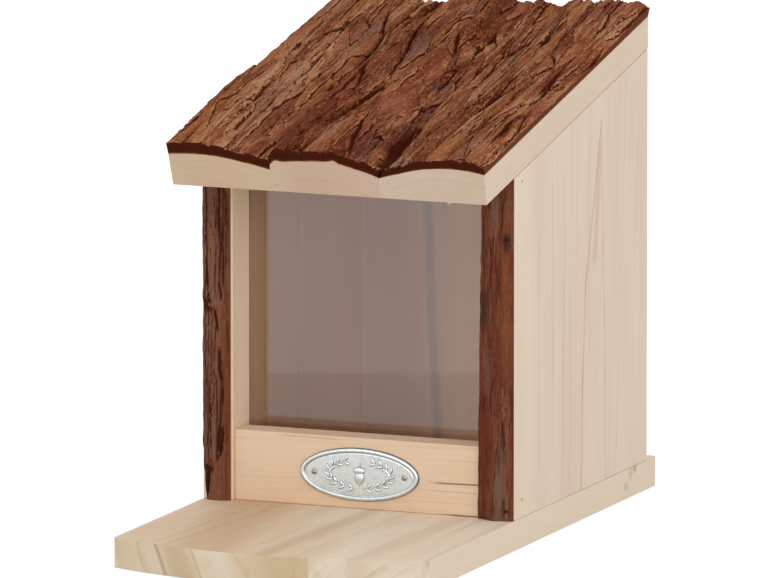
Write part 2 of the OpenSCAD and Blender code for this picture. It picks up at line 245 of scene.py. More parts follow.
class Shader:
    """One material, or the world, while its nodes are put together."""

    def __init__(self, owner: bpy.types.Material | bpy.types.World) -> None:
        """Clears the owner's node tree.

        Args:
            owner: The material or the world.
        """
        owner.use_nodes = True
        self.owner = owner
        self.tree = owner.node_tree
        self.tree.nodes.clear()

    def node(
        self,
        kind: str,
        settings: dict[str, Any] | None = None,
        inputs: dict[Key, Any] | None = None,
        output: Key = 0,
    ) -> Sock:
        """Adds one node.

        Args:
            kind: Blender's name of the node type.
            settings: Attributes to set before the sockets; "stops" fills a colour ramp.
            inputs: Values, colours or links by socket name or number.
            output: The output socket to hand back.

        Returns:
            The chosen output.
        """
        made = self.tree.nodes.new(kind)
        for name, value in (settings or {}).items():
            if name == "stops":
                self._fill_ramp(made.color_ramp, value)
            else:
                setattr(made, name, value)
        for key, value in (inputs or {}).items():
            socket = made.inputs[key]
            if isinstance(value, Sock):
                self.tree.links.new(value.socket, socket)
            else:
                socket.default_value = (*value, 1.0) if socket.type == "RGBA" else value
        return Sock(self, made.outputs[output]) if len(made.outputs) else Sock(self, None)

    @staticmethod
    def _fill_ramp(ramp: bpy.types.ColorRamp, stops: Sequence[tuple[float, Colour]]) -> None:
        """Gives a colour ramp its stops.

        Args:
            ramp: The ramp.
            stops: Places from 0 to 1 and the colours there.
        """
        while len(ramp.elements) < len(stops):
            ramp.elements.new(1.0)
        for element, (place, colour) in zip(ramp.elements, stops):
            element.position = place
            element.color = (*colour, 1.0)

    def split(self, vector: Sock) -> tuple[Sock, Sock, Sock]:
        """The three numbers of a vector."""
        parts = self.node("ShaderNodeSeparateXYZ", None, {0: vector}).socket.node
        return tuple(Sock(self, parts.outputs[i]) for i in range(3))

    def join(self, x: Operand, y: Operand, z: Operand) -> Sock:
        """A vector of three numbers."""
        return self.node("ShaderNodeCombineXYZ", None, {0: x, 1: y, 2: z})

    def object_mm(self) -> Sock:
        """Object coordinates in millimetres."""
        coords = self.node("ShaderNodeTexCoord", output="Object")
        return self.node("ShaderNodeVectorMath", {"operation": "SCALE"}, {0: coords, "Scale": 1.0 / MM})

    def outward(self) -> Sock:
        """The way that the surface faces, in the part's frame."""
        return self.node("ShaderNodeTexCoord", output="Normal")

    def tilted(self, vector: Sock, pitch: float) -> Sock:
        """A vector in a frame that is turned up about X by a pitch in degrees."""
        inputs = {"Vector": vector, "Angle": -math.radians(pitch)}
        return self.node("ShaderNodeVectorRotate", {"rotation_type": "X_AXIS"}, inputs)

    def rays(self) -> tuple[Sock, ...]:
        """Light Path's tests for rays that are seen, mirrored in metal or glass, and let through."""
        path = self.node("ShaderNodeLightPath").socket.node.outputs
        return tuple(Sock(self, path[f"Is {kind} Ray"]) for kind in ("Camera", "Glossy", "Transmission"))

    def attribute(self, name: str) -> Sock:
        """A number that the mesh carries at its vertices."""
        return self.node("ShaderNodeAttribute", {"attribute_name": name}, output="Fac")

    def mix(self, first: Tint, second: Tint, share: Operand, mode: str = "MIX") -> Sock:
        """A mix of two colours.

        Args:
            first: The colour at share 0.
            second: The colour at share 1.
            share: How much of the second colour shows.
            mode: Blender's name of the way to mix.

        Returns:
            The mixed colour.
        """
        return self.node(
            "ShaderNodeMix",
            {"data_type": "RGBA", "blend_type": mode, "clamp_factor": True},
            {0: share, 6: first, 7: second},
            output=2,
        )

    def grains(self, vector: Sock, scale: float, detail: float = 3.0, roughness: float = 0.55) -> Sock:
        """Noise from 0 to 1.

        Args:
            vector: Where to read it.
            scale: How many features there are per unit.
            detail: How many finer layers are added.
            roughness: How strong the finer layers are.

        Returns:
            The noise value.
        """
        inputs = {"Vector": vector, "Scale": scale, "Detail": detail, "Roughness": roughness}
        return self.node("ShaderNodeTexNoise", None, inputs)

    def bump(self, height: Sock, depth_mm: float, strength: float = 1.0) -> Sock:
        """A normal that follows a height from 0 to 1 over a depth."""
        inputs = {"Strength": strength, "Distance": depth_mm * MM, "Height": height}
        return self.node("ShaderNodeBump", None, inputs, "Normal")

    def show(self, surface: Sock) -> None:
        """Links a shader to the output."""
        kind = "ShaderNodeOutputWorld" if isinstance(self.owner, bpy.types.World) else "ShaderNodeOutputMaterial"
        self.node(kind, None, {"Surface": surface})

    def principled(self, **inputs: Any) -> Sock:
        """A Principled shader; underscores in the names stand for spaces."""
        named = {key.replace("_", " "): value for key, value in inputs.items()}
        return self.node("ShaderNodeBsdfPrincipled", None, named)


@dataclass(frozen=True)
class Finish:
    """The look of a surface.

    Attributes:
        name: The material's name.
    """

    name: str

    def surface(self, shader: Shader) -> Sock:
        """Puts the finish's nodes together.

        Args:
            shader: The material being made.

        Returns:
            The shader to show.
        """
        raise NotImplementedError

    def material(self) -> bpy.types.Material:
        """Builds the material.

        Returns:
            The finished material.
        """
        shader = Shader(bpy.data.materials.new(self.name))
        shader.show(self.surface(shader))
        return shader.owner


@dataclass(frozen=True)
class Streak:
    """A line along the grain of a board that is darker or paler than its wood.

    Attributes:
        across: Its place across the board where along is 0.
        lean: How far it moves across for each millimetre along.
        width: Its half width.
        colour: Its colour.
        strength: How much it covers, from 0 to 1.
        start: Where along the grain it begins; None for the board's end.
        end: Where along the grain it ends; None for the board's end.
        depth: True if across is read through the board's thickness and not over its face.
        sway: How far it leaves a straight line.
        fade: How far it takes to come and go.
    """

    across: float
    lean: float
    width: float
    colour: Colour
    strength: float
    start: float | None = None
    end: float | None = None
    depth: bool = False
    sway: float = 2.0
    fade: float = 12.0


@dataclass(frozen=True)
class Knot:
    """A knot in a board.

    Attributes:
        centre: Its centre in the part's frame.
        radius: Its radius.
        strength: How much it covers, from 0 to 1.
        colour: Its colour.
    """

    centre: Point
    radius: float
    strength: float
    colour: Colour = (0.33, 0.19, 0.10)


@dataclass(frozen=True)
class Pine(Finish):
    """Planed pine with growth rings round a pith that may lie outside the board.

    Attributes:
        grain: The direction of the fibres.
        pith: Place of the pith over the two directions across the grain.
        lean: How far the pith moves in those directions for each millimetre along the grain.
        ring: Mean distance between rings.
        pale: Colour of the early wood.
        warm: Colour that the early wood drifts to.
        late: Colour of the late wood in each ring.
        contrast: Strength of the rings.
        wander: How far the rings leave true circles.
        end: Colour that the end grain is multiplied by.
        end_rings: How much stronger the rings are on the end grain.
        streaks: Lines along the grain.
        end_streaks: Lines on the end grain, which the others then leave out; they lean through the thickness.
        knots: Knots in the board.
        pitch: Slope of the grain in degrees, for boards of the roof.
    """

    grain: Grain
    pith: tuple[float, float]
    lean: tuple[float, float] = (0.0, 0.0)
    ring: float = 3.4
    pale: Colour = (0.72, 0.60, 0.46)
    warm: Colour = (0.66, 0.50, 0.35)
    late: Colour = (0.50, 0.33, 0.20)
    contrast: float = 0.45
    wander: float = 1.6
    end: Colour = (0.93, 0.90, 0.86)
    end_rings: float = 1.0
    streaks: tuple[Streak, ...] = ()
    end_streaks: tuple[Streak, ...] = ()
    knots: tuple[Knot, ...] = ()
    pitch: float = ROOF_PITCH

    def _axes(self, shader: Shader, vector: Sock) -> tuple[Sock, Sock, Sock]:
        """Splits a vector by the grain.

        Args:
            shader: The material being made.
            vector: A vector in the part's frame.

        Returns:
            Its numbers along the grain and over the two directions across it.
        """
        if self.grain is Grain.UP_THE_SLOPE:
            vector = shader.tilted(vector, self.pitch)
        x, y, z = shader.split(vector)
        if self.grain is Grain.ACROSS:
            return x, y, z
        if self.grain is Grain.UPRIGHT:
            return z, y, x
        return y, x, z

    def _rings(self, shader: Shader, along: Sock, a: Sock, b: Sock) -> Sock:
        """Growth rings, with years of uneven strength.

        Args:
            shader: The material being made.
            along: Place along the grain.
            a: Place over the first direction across it.
            b: Place over the second direction across it.

        Returns:
            Late wood from 0 to 1.
        """
        drift = shader.grains(shader.join(a * 0.03, b * 0.03, along * 0.006), 1.0, 2.0)
        off_a = a - along * self.lean[0] - self.pith[0]
        off_b = b - along * self.lean[1] - self.pith[1]
        radius = (off_a * off_a + off_b * off_b).root() + (drift - 0.5) * (2.0 * self.wander)
        uneven = shader.grains(shader.join(radius * 0.11, 0.0, 0.0), 1.0, 1.0)
        years = radius / self.ring + uneven * 2.2
        year = shader.node(
            "ShaderNodeTexWhiteNoise", {"noise_dimensions": "1D"}, {"W": years.whole()}, output="Value"
        )
        part = years.rest()
        shown = shader.grains(shader.join(a * 0.09, b * 0.09, along * 0.012), 1.0, 2.0).ease(0.34, 0.66) * 0.8 + 0.25
        return part**3.0 * (1.0 - part.ease(0.9, 1.0)) * (year * 0.85 + 0.3) * shown

    def _marks(self, shader: Shader, colour: Sock, place: tuple[Sock, ...], point: Sock, facing: Sock) -> Sock:
        """Lays streaks and knots over the wood's colour.

        Args:
            shader: The material being made.
            colour: The wood's colour so far.
            place: Numbers along the grain and over the two directions across it.
            point: The same place as a vector in the part's frame.
            facing: 1 on the end grain and 0 on the other faces.

        Returns:
            The colour with its marks.
        """
        along, a, b = place
        for streak in self.streaks + self.end_streaks:
            on_end = streak in self.end_streaks
            side = b if streak.depth else a
            sway = shader.grains(shader.join(along * 0.02, streak.across, 0.0), 1.0, 2.0) - 0.5
            gap = abs(side - (b if on_end else along) * streak.lean - streak.across + sway * (2.0 * streak.sway))
            share = (1.0 - gap.ease(0.15 * streak.width, streak.width)) * streak.strength
            if streak.start is not None:
                share = share * along.ease(streak.start, streak.start + streak.fade)
            if streak.end is not None:
                share = share * (1.0 - along.ease(streak.end - streak.fade, streak.end))
            if self.end_streaks:
                share = share * (facing if on_end else 1.0 - facing)
            colour = shader.mix(colour, streak.colour, share)
        for knot in self.knots:
            far = shader.node("ShaderNodeVectorMath", {"operation": "DISTANCE"}, {0: point, 1: knot.centre}, "Value")
            ragged = far + (shader.grains(point, 0.6, 2.0) - 0.5) * (0.9 * knot.radius)
            share = (1.0 - ragged.ease(0.3 * knot.radius, knot.radius)) * knot.strength
            colour = shader.mix(colour, knot.colour, share)
        return colour

    def surface(self, shader: Shader) -> Sock:
        """Puts the finish's nodes together.

        Args:
            shader: The material being made.

        Returns:
            The shader to show.
        """
        point = shader.object_mm()
        along, a, b = self._axes(shader, point)
        late = self._rings(shader, along, a, b)
        cloud = shader.grains(shader.join(a * 0.035, b * 0.035, along * 0.007), 1.0, 3.0)
        fibre = shader.grains(shader.join(a * 1.5, b * 1.5, along * 0.035), 1.0, 4.0, 0.65)
        pores = shader.grains(shader.join(a * 4.0, b * 4.0, along * 0.22), 1.0, 2.0, 0.6)
        facing = abs(self._axes(shader, shader.outward())[0]).ease(0.55, 0.9)
        colour = shader.mix(self.pale, self.warm, cloud.ease(0.32, 0.72))
        rings = facing * (self.contrast * (self.end_rings - 1.0)) + self.contrast
        colour = shader.mix(colour, self.late, late * rings)
        colour = shader.mix(colour, self.late, fibre.ease(0.52, 0.82) * 0.28)
        colour = shader.mix(colour, self.late, pores.ease(0.62, 0.8) * 0.16)
        colour = self._marks(shader, colour, (along, a, b), point, facing)
        colour = shader.mix(colour, self.end, facing, "MULTIPLY")
        rough = fibre * 0.16 + late * 0.06 + 0.56
        normal = shader.bump(fibre * 0.6 + pores * 0.4 - late * 0.25, 0.12, 0.5)
        return shader.principled(
            Base_Color=colour, Roughness=rough, Normal=normal, Specular_IOR_Level=0.32, IOR=1.45
        )


@dataclass(frozen=True)
class BarkSkin(Finish):
    """The outer face of bark, coloured by what the sculpting left on its vertices.

    Attributes:
        tones: Colours from the darkest scales to the palest.
        crevice: Colour of the painted shade at the bottom of the fissures and at the feet of flakes.
        motley: How much the flakes' colours differ.
        fine: Strength of the fibres and of the grit on them.
        hues: Number layers that tint the bark, with their colours; the last layer darkens it as painted shade.
        pitch: Slope of the fibres in degrees; None where they stand upright.
    """

    tones: tuple[Colour, ...] = (
        (0.106, 0.022, 0.007),
        (0.176, 0.048, 0.019),
        (0.262, 0.084, 0.036),
        (0.350, 0.134, 0.060),
        (0.470, 0.235, 0.126),
    )
    crevice: Colour = (0.052, 0.0050, 0.0004)
    motley: float = 0.45
    fine: float = 1.0
    hues: tuple[tuple[Hue, Colour], ...] = (
        (Hue.ORANGE, (0.370, 0.135, 0.040)),
        (Hue.RED, (0.230, 0.060, 0.034)),
        (Hue.GREY, (0.345, 0.200, 0.128)),
        (Hue.GOLD, (0.520, 0.275, 0.120)),
        # Colour of the painted shade patches.
        (Hue.PAINTED_SHADE, (0.120, 0.055, 0.048)),
    )
    pitch: float | None = ROOF_PITCH

    def surface(self, shader: Shader) -> Sock:
        """Puts the finish's nodes together.

        Args:
            shader: The material being made.

        Returns:
            The shader to show.
        """
        point = shader.object_mm()
        if self.pitch is not None:
            point = shader.tilted(point, self.pitch)
        x, y, z = shader.split(point)
        run, side = (z, y) if self.pitch is None else (y, z)
        fibre = shader.grains(shader.join(x * 0.8, run * 0.085, side * 0.5), 1.0, 5.0, 0.8)
        dash = shader.grains(shader.join(x * 1.2, run * 0.20, side * 0.8), 1.0, 3.0, 0.6)
        fleck = shader.grains(shader.join(x * 1.0 + 37.0, run * 0.28, side * 0.7), 1.0, 3.0, 0.7)
        grit = shader.grains(shader.join(x * 1.5, run * 0.6, side * 1.2), 1.0, 2.0, 0.6)
        cloud = shader.grains(shader.join(x * 0.09, run * 0.03, side * 0.05), 1.0, 3.0, 0.6)
        fine = (fibre - 0.5) * 1.9 + (fleck - 0.5) * 1.0 + (grit - 0.5) * 0.9
        tone = shader.attribute("tone") * 0.95 + fine * self.fine + (cloud - 0.5) * 0.5 + 0.02
        last = len(self.tones) - 1
        stops = [(i / last, colour) for i, colour in enumerate(self.tones)]
        colour = shader.node("ShaderNodeValToRGB", {"stops": stops}, {0: tone}, "Color")
        patchy = 1.0 - (1.0 - fleck.ease(0.30, 0.60) * fibre.ease(0.30, 0.60)) * (0.8 * self.fine)
        own = shader.attribute("own")
        tints = dict(self.hues)
        by_flake = (
            (Hue.GREY, 1.0 - own.ease(0.06, 0.12)),
            (Hue.RED, own.ease(0.28, 0.34) * (1.0 - own.ease(0.42, 0.48))),
            (Hue.ORANGE, own.ease(0.80, 0.88)),
        )
        for hue, share in by_flake:
            colour = shader.mix(colour, tints[hue], share * patchy * self.motley)
        for hue, tint in self.hues:
            colour = shader.mix(colour, tint, shader.attribute(hue.value) * patchy)
        colour = shader.mix(colour, self.tones[-1], fleck.ease(0.58, 0.74) * (0.45 * self.fine))
        # Painted shade: short dark dashes, also pressed in by the bump, take the crevice colour.
        colour = shader.mix(colour, self.crevice, dash.ease(0.59, 0.74) * (0.60 * self.fine))
        # Painted shade: the crevice layer, with some fibre noise, darkens the colour towards the crevice colour.
        hollow_shade = shader.attribute("crevice") + (fibre - 0.5) * 0.6
        colour = shader.mix(colour, self.crevice, hollow_shade.ease(0.22, 0.80) * 0.95)
        normal = shader.bump(fibre * 0.5 + fleck * 0.3 + grit * 0.3 - dash * 0.4, 1.2 * self.fine, 0.9)
        rough = 0.85 + (fleck - 0.5) * 0.2
        return shader.principled(Base_Color=colour, Roughness=rough, Normal=normal, Specular_IOR_Level=0.04)


@dataclass(frozen=True)
class BarkCut(Finish):
    """The sawn edge of bark: dark layers with a thin paler line against the wood.

    Attributes:
        dark: Colour of the layers.
        light: Colour of the paler layers between them.
        inner: Colour of the line against the wood.
    """

    dark: Colour = (0.046, 0.011, 0.006)
    light: Colour = (0.082, 0.024, 0.013)
    inner: Colour = (0.300, 0.120, 0.045)

    def surface(self, shader: Shader) -> Sock:
        """Puts the finish's nodes together.

        Args:
            shader: The material being made.

        Returns:
            The shader to show.
        """
        point = shader.object_mm()
        rise = shader.attribute("rise")
        mottle = shader.grains(point, 0.55, 4.0, 0.65)
        layer = shader.grains(shader.join(rise * 3.0, mottle * 2.0, 0.0), 1.0, 3.0, 0.6)
        colour = shader.mix(self.dark, self.light, layer.ease(0.42, 0.72))
        edge = 1.0 - (rise + (mottle - 0.5) * 0.25).ease(0.01, 0.13)
        colour = shader.mix(colour, self.inner, edge * 0.85)
        rough = 0.78 + mottle * 0.12
        normal = shader.bump(layer, 0.3, 0.5)
        return shader.principled(Base_Color=colour, Roughness=rough, Normal=normal, Specular_IOR_Level=0.03)


@dataclass(frozen=True)
class ClearSheet(Finish):
    """Clear acrylic sheet: mostly see-through, with the gloss of its two faces.

    Attributes:
        tint: Colour of what passes through one face.
        sheen: Colour of the gloss.
        haze: Even share of gloss from dust and fine scratches.
        bending: Refractive index.
    """

    tint: Colour = (0.985, 0.92, 0.875)
    sheen: Colour = (0.93, 0.94, 0.96)
    haze: float = 0.041
    bending: float = 1.49

    def surface(self, shader: Shader) -> Sock:
        """Puts the finish's nodes together.

        Args:
            shader: The material being made.

        Returns:
            The shader to show.
        """
        clear = shader.node("ShaderNodeBsdfTransparent", None, {"Color": self.tint})
        smear = shader.grains(shader.object_mm(), 0.02, 3.0)
        gloss = shader.principled(Base_Color=self.sheen, Metallic=1.0, Roughness=0.02 + (smear - 0.5) * 0.02)
        share = shader.node("ShaderNodeFresnel", None, {"IOR": self.bending}) + self.haze
        return shader.node("ShaderNodeMixShader", None, {0: share, 1: clear, 2: gloss})


@dataclass(frozen=True)
class Metal(Finish):
    """Plated or stamped metal with fine wear, and with painted shade and tarnish on steep sides where asked.

    Attributes:
        colour: Its bright colour.
        dull: Its colour in dull patches.
        roughness: Mean roughness.
        rib: Distance between pressed ribs across X; 0 for none.
        rib_depth: Depth of the ribs.
        side_shade_and_tarnish: How dark the steep sides of stamped figures are, as painted shade and tarnish.
        tarnish_and_shade_colour: Colour of that painted shade and tarnish.
    """

    colour: Colour
    dull: Colour
    roughness: float
    rib: float = 0.0
    rib_depth: float = 0.06
    side_shade_and_tarnish: float = 0.0
    tarnish_and_shade_colour: Colour = (0.10, 0.10, 0.11)

    def surface(self, shader: Shader) -> Sock:
        """Puts the finish's nodes together.

        Args:
            shader: The material being made.

        Returns:
            The shader to show.
        """
        point = shader.object_mm()
        patch = shader.grains(point, 0.35, 3.0, 0.6)
        fine = shader.grains(point, 3.5, 3.0, 0.7)
        colour = shader.mix(self.colour, self.dull, patch.ease(0.4, 0.75) * 0.8)
        height = fine * 0.4
        if self.side_shade_and_tarnish:
            # Painted shade and tarnish: faces that turn away from the plate's front darken.
            _, front, _ = shader.split(shader.outward())
            steep = 1.0 - abs(front).ease(0.55, 0.97)
            colour = shader.mix(colour, self.tarnish_and_shade_colour, steep * self.side_shade_and_tarnish)
        if self.rib:
            x, _, _ = shader.split(point)
            height = height + ((x * (2.0 * math.pi / self.rib)).wave() * 0.5 + 0.5)
        rough = self.roughness + (fine - 0.5) * 0.25 + (patch - 0.5) * 0.15
        normal = shader.bump(height, self.rib_depth, 0.6)
        return shader.principled(Base_Color=colour, Metallic=1.0, Roughness=rough, Normal=normal)


@dataclass(frozen=True)
class FloorPaper(Finish):
    """Pale matt paper that keeps the feeder's shadow and is clear from below.

    Attributes:
        grey: Its colour.
        lift: Light that it adds where it is seen, to look white.
        image: Share of that light in its image on metal and on the pane.
        slant: Direction over the floor along which that image is bounded.
        brink: Where along that direction the image of the paper in front ends.
    """

    grey: Colour = (0.86, 0.86, 0.86)
    lift: float = 0.4
    image: float = 0.5
    slant: tuple[float, float] = (0.38, 0.925)
    brink: tuple[float, float] = (-468.0, -456.0)

    def surface(self, shader: Shader) -> Sock:
        """Puts the finish's nodes together.

        Args:
            shader: The material being made.

        Returns:
            The shader to show.
        """
        paper = shader.principled(Base_Color=self.grey, Roughness=0.9, Specular_IOR_Level=0.0)
        x, y, _ = shader.split(shader.object_mm())
        ahead = 1.0 - (x * self.slant[0] + y * self.slant[1]).ease(*self.brink)
        seen, mirrored, passed = shader.rays()
        strength = seen.larger(passed).larger(mirrored * ahead * self.image) * self.lift
        glow = shader.node("ShaderNodeEmission", None, {"Color": WHITE, "Strength": strength})
        lit = shader.node("ShaderNodeAddShader", None, {0: paper, 1: glow})
        below = shader.node("ShaderNodeNewGeometry", output="Backfacing")
        clear = shader.node("ShaderNodeBsdfTransparent")
        return shader.node("ShaderNodeMixShader", None, {0: below, 1: lit, 2: clear})


def new_object(name: str, data: bpy.types.ID) -> bpy.types.Object:
    """Adds an object to the scene.

    Args:
        name: Its name.
        data: Its mesh, light or camera.

    Returns:
        The object.
    """
    made = bpy.data.objects.new(name, data)
    bpy.context.collection.objects.link(made)
    return made


def mesh_object(name: str, bm: BMesh, finishes: Sequence[bpy.types.Material]) -> bpy.types.Object:
    """Makes a bmesh an object of the scene.

    Args:
        name: The object's name.
        bm: Its shape in the part's frame; it is freed here.
        finishes: Materials in the order of the faces' material numbers.

    Returns:
        The object.
    """
    mesh = bpy.data.meshes.new(name)
    bm.to_mesh(mesh)
    bm.free()
    worn_out = mesh.attributes.get("custom_normal")
    if worn_out is not None:
        mesh.attributes.remove(worn_out)
    for finish in finishes:
        mesh.materials.append(finish)
    return new_object(name, mesh)


def put_together(
    node: str,
    bm: BMesh,
    finishes: Sequence[bpy.types.Material],
    body: Body,
    make: Make = Make.DRESSED,
) -> None:
    """Makes a bmesh a piece of the feeder.

    Args:
        node: The CAD node that it stands for.
        bm: Its shape in the part's frame; it is freed here.
        finishes: Materials in the order of the faces' material numbers.
        body: The body that it rides on.
        make: How it is made.
    """
    piece = mesh_object(f"{node}_{make.value}", bm, finishes)
    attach(piece, body.value)
    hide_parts(node)
    LOG.info("piece %s: %d faces on %s, stands for %s", piece.name, len(piece.data.polygons), body.value, node)


def node_copy(node: str) -> BMesh:
    """A merged copy of a CAD node's mesh with its flat faces joined.

    Args:
        node: The CAD node's name.

    Returns:
        The copy; faces of round walls are smooth.
    """
    bm = bmesh.new()
    bm.from_mesh(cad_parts[node].data)
    for layer in list(bm.loops.layers.uv):
        bm.loops.layers.uv.remove(layer)
    bmesh.ops.remove_doubles(bm, verts=bm.verts, dist=2e-6)
    bmesh.ops.dissolve_limit(
        bm, angle_limit=FLAT, use_dissolve_boundaries=False, verts=bm.verts, edges=bm.edges
    )
    for face in bm.faces:
        face.material_index = 0
        face.smooth = any(FLAT < edge.calc_face_angle(0.0) < ROUND for edge in face.edges)
    for edge in bm.edges:
        edge.smooth = edge.calc_face_angle(0.0) < SMOOTH
    return bm


def soften(
    bm: BMesh,
    width: float,
    keep: Callable[[BMEdge], bool] | None = None,
    segments: int = 3,
    shortest: float = 5.0,
) -> None:
    """Rounds the long sharp edges of a board.

    Args:
        bm: The board.
        width: Width of the rounding.
        keep: Says which edges to round; all of them if None.
        segments: Steps of the rounding.
        shortest: Edges that are shorter stay sharp.
    """
    edges = [
        edge
        for edge in bm.edges
        if edge.is_manifold
        and edge.calc_face_angle() > SHARP
        and edge.calc_length() > shortest * MM
        and (keep is None or keep(edge))
    ]
    made = bmesh.ops.bevel(
        bm,
        geom=edges,
        offset=width * MM,
        offset_type="OFFSET",
        affect="EDGES",
        segments=segments, profile=0.5, material=-1, clamp_overlap=True,
    )
    for face in made["faces"]:
        face.smooth = True


@dataclass
class BaseBoard:
    """The two glued planks that the box stands on.

    Attributes:
        top_round: Rounding of the upper edges.
        low_round: Rounding of the lower edges.
        corner_round: Rounding of the front corners.
        shortest: Edges of the top and the underside that are shorter stay sharp.
        thickness: Thickness of the board.
        joint: Place of the glue line.
    """

    top_round: float = 0.7
    low_round: float = 3.6
    corner_round: float = 1.6
    shortest: float = 0.2
    thickness: float = 15.0
    joint: float = 26.5

    def finishes(self) -> dict[str, Pine]:
        """Chooses the pine of each plank.

        Returns:
            The finishes by CAD node.
        """
        tan = (0.42, 0.26, 0.14)
        return {
            "base_plank_wide": Pine(
                "pine_base_wide", Grain.LENGTHWISE,
                pith=(100.0, 70.0), lean=(0.09, 0.0), ring=13.0, pale=(0.82, 0.70, 0.545), warm=(0.75, 0.59, 0.42),
                late=(0.50, 0.34, 0.20), contrast=0.42, wander=5.0, end=(0.83, 0.845, 0.82), end_rings=1.5,
                streaks=(
                    Streak(-76.0, -0.10, 34.0, (0.62, 0.44, 0.27), 0.36),
                    Streak(-57.0, -0.158, 30.0, (0.58, 0.385, 0.215), 0.70),
                    Streak(9.5, 0.056, 7.5, tan, 0.30, end=60.0),
                    Streak(-36.5, 0.11, 2.0, tan, 0.26, end=20.0),
                    Streak(-48.0, 0.09, 1.4, tan, 0.25, start=-160.0, end=30.0),
                ),
                end_streaks=(
                    Streak(-41.0, -0.42, 13.5, (0.66, 0.50, 0.325), 1.0),
                    Streak(-17.0, -0.42, 11.0, (0.84, 0.74, 0.61), 0.70),
                    Streak(18.0, -0.1, 30.0, (0.655, 0.485, 0.31), 1.0),
                    Streak(-51.5, -0.42, 1.9, (0.47, 0.32, 0.20), 0.65),
                    Streak(-30.5, -0.42, 1.3, (0.50, 0.36, 0.23), 0.45),
                ),
            ),
            "base_plank_narrow": Pine(
                "pine_base_narrow", Grain.LENGTHWISE,
                pith=(146.0, -112.0), ring=6.0, pale=(0.845, 0.735, 0.58), warm=(0.80, 0.665, 0.51), contrast=0.40,
                wander=2.4, end=(0.813, 0.825, 0.82), end_rings=1.6,
                streaks=(
                    Streak(58.0, 0.05, 9.0, (0.62, 0.46, 0.32), 0.36, end=0.0),
                    Streak(HALF_WIDTH, 0.0, 4.0, (0.685, 0.58, 0.455), 0.72, sway=0.0),
                ),
                knots=(
                    Knot((HALF_WIDTH, 121.0, 6.5), 4.0, 0.32),
                    Knot((HALF_WIDTH, 133.0, 14.5), 4.2, 0.55),
                    Knot((HALF_WIDTH, 127.0, 12.0), 4.5, 0.35, (0.42, 0.29, 0.18)),
                ),
            ),
        }

    def outer(self, edge: BMEdge) -> bool:
        """True away from the glue line."""
        return all(abs(vert.co.x / MM - self.joint) > CLOSE for vert in edge.verts)

    def low(self, edge: BMEdge) -> bool:
        """True for an outer edge of the underside."""
        return self.outer(edge) and all(vert.co.z < CLOSE * MM for vert in edge.verts)

    def high(self, edge: BMEdge) -> bool:
        """True for an outer edge of the top."""
        return self.outer(edge) and all(vert.co.z > (self.thickness - CLOSE) * MM for vert in edge.verts)

    @staticmethod
    def corner(edge: BMEdge) -> bool:
        """True for an upright edge at the ends of the bowed front."""
        first, second = (vert.co for vert in edge.verts)
        return abs(first.x) > (HALF_WIDTH - CLOSE) * MM and (first.xy - second.xy).length < CLOSE * MM

    def build(self) -> None:
        """Builds both planks."""
        for node, pine in self.finishes().items():
            bm = node_copy(node)
            soften(bm, self.low_round, self.low, 4, self.shortest)
            soften(bm, self.top_round, self.high, 3, self.shortest)
            soften(bm, self.corner_round, self.corner, 4)
            put_together(node, bm, [pine.material()], Body.BOX)


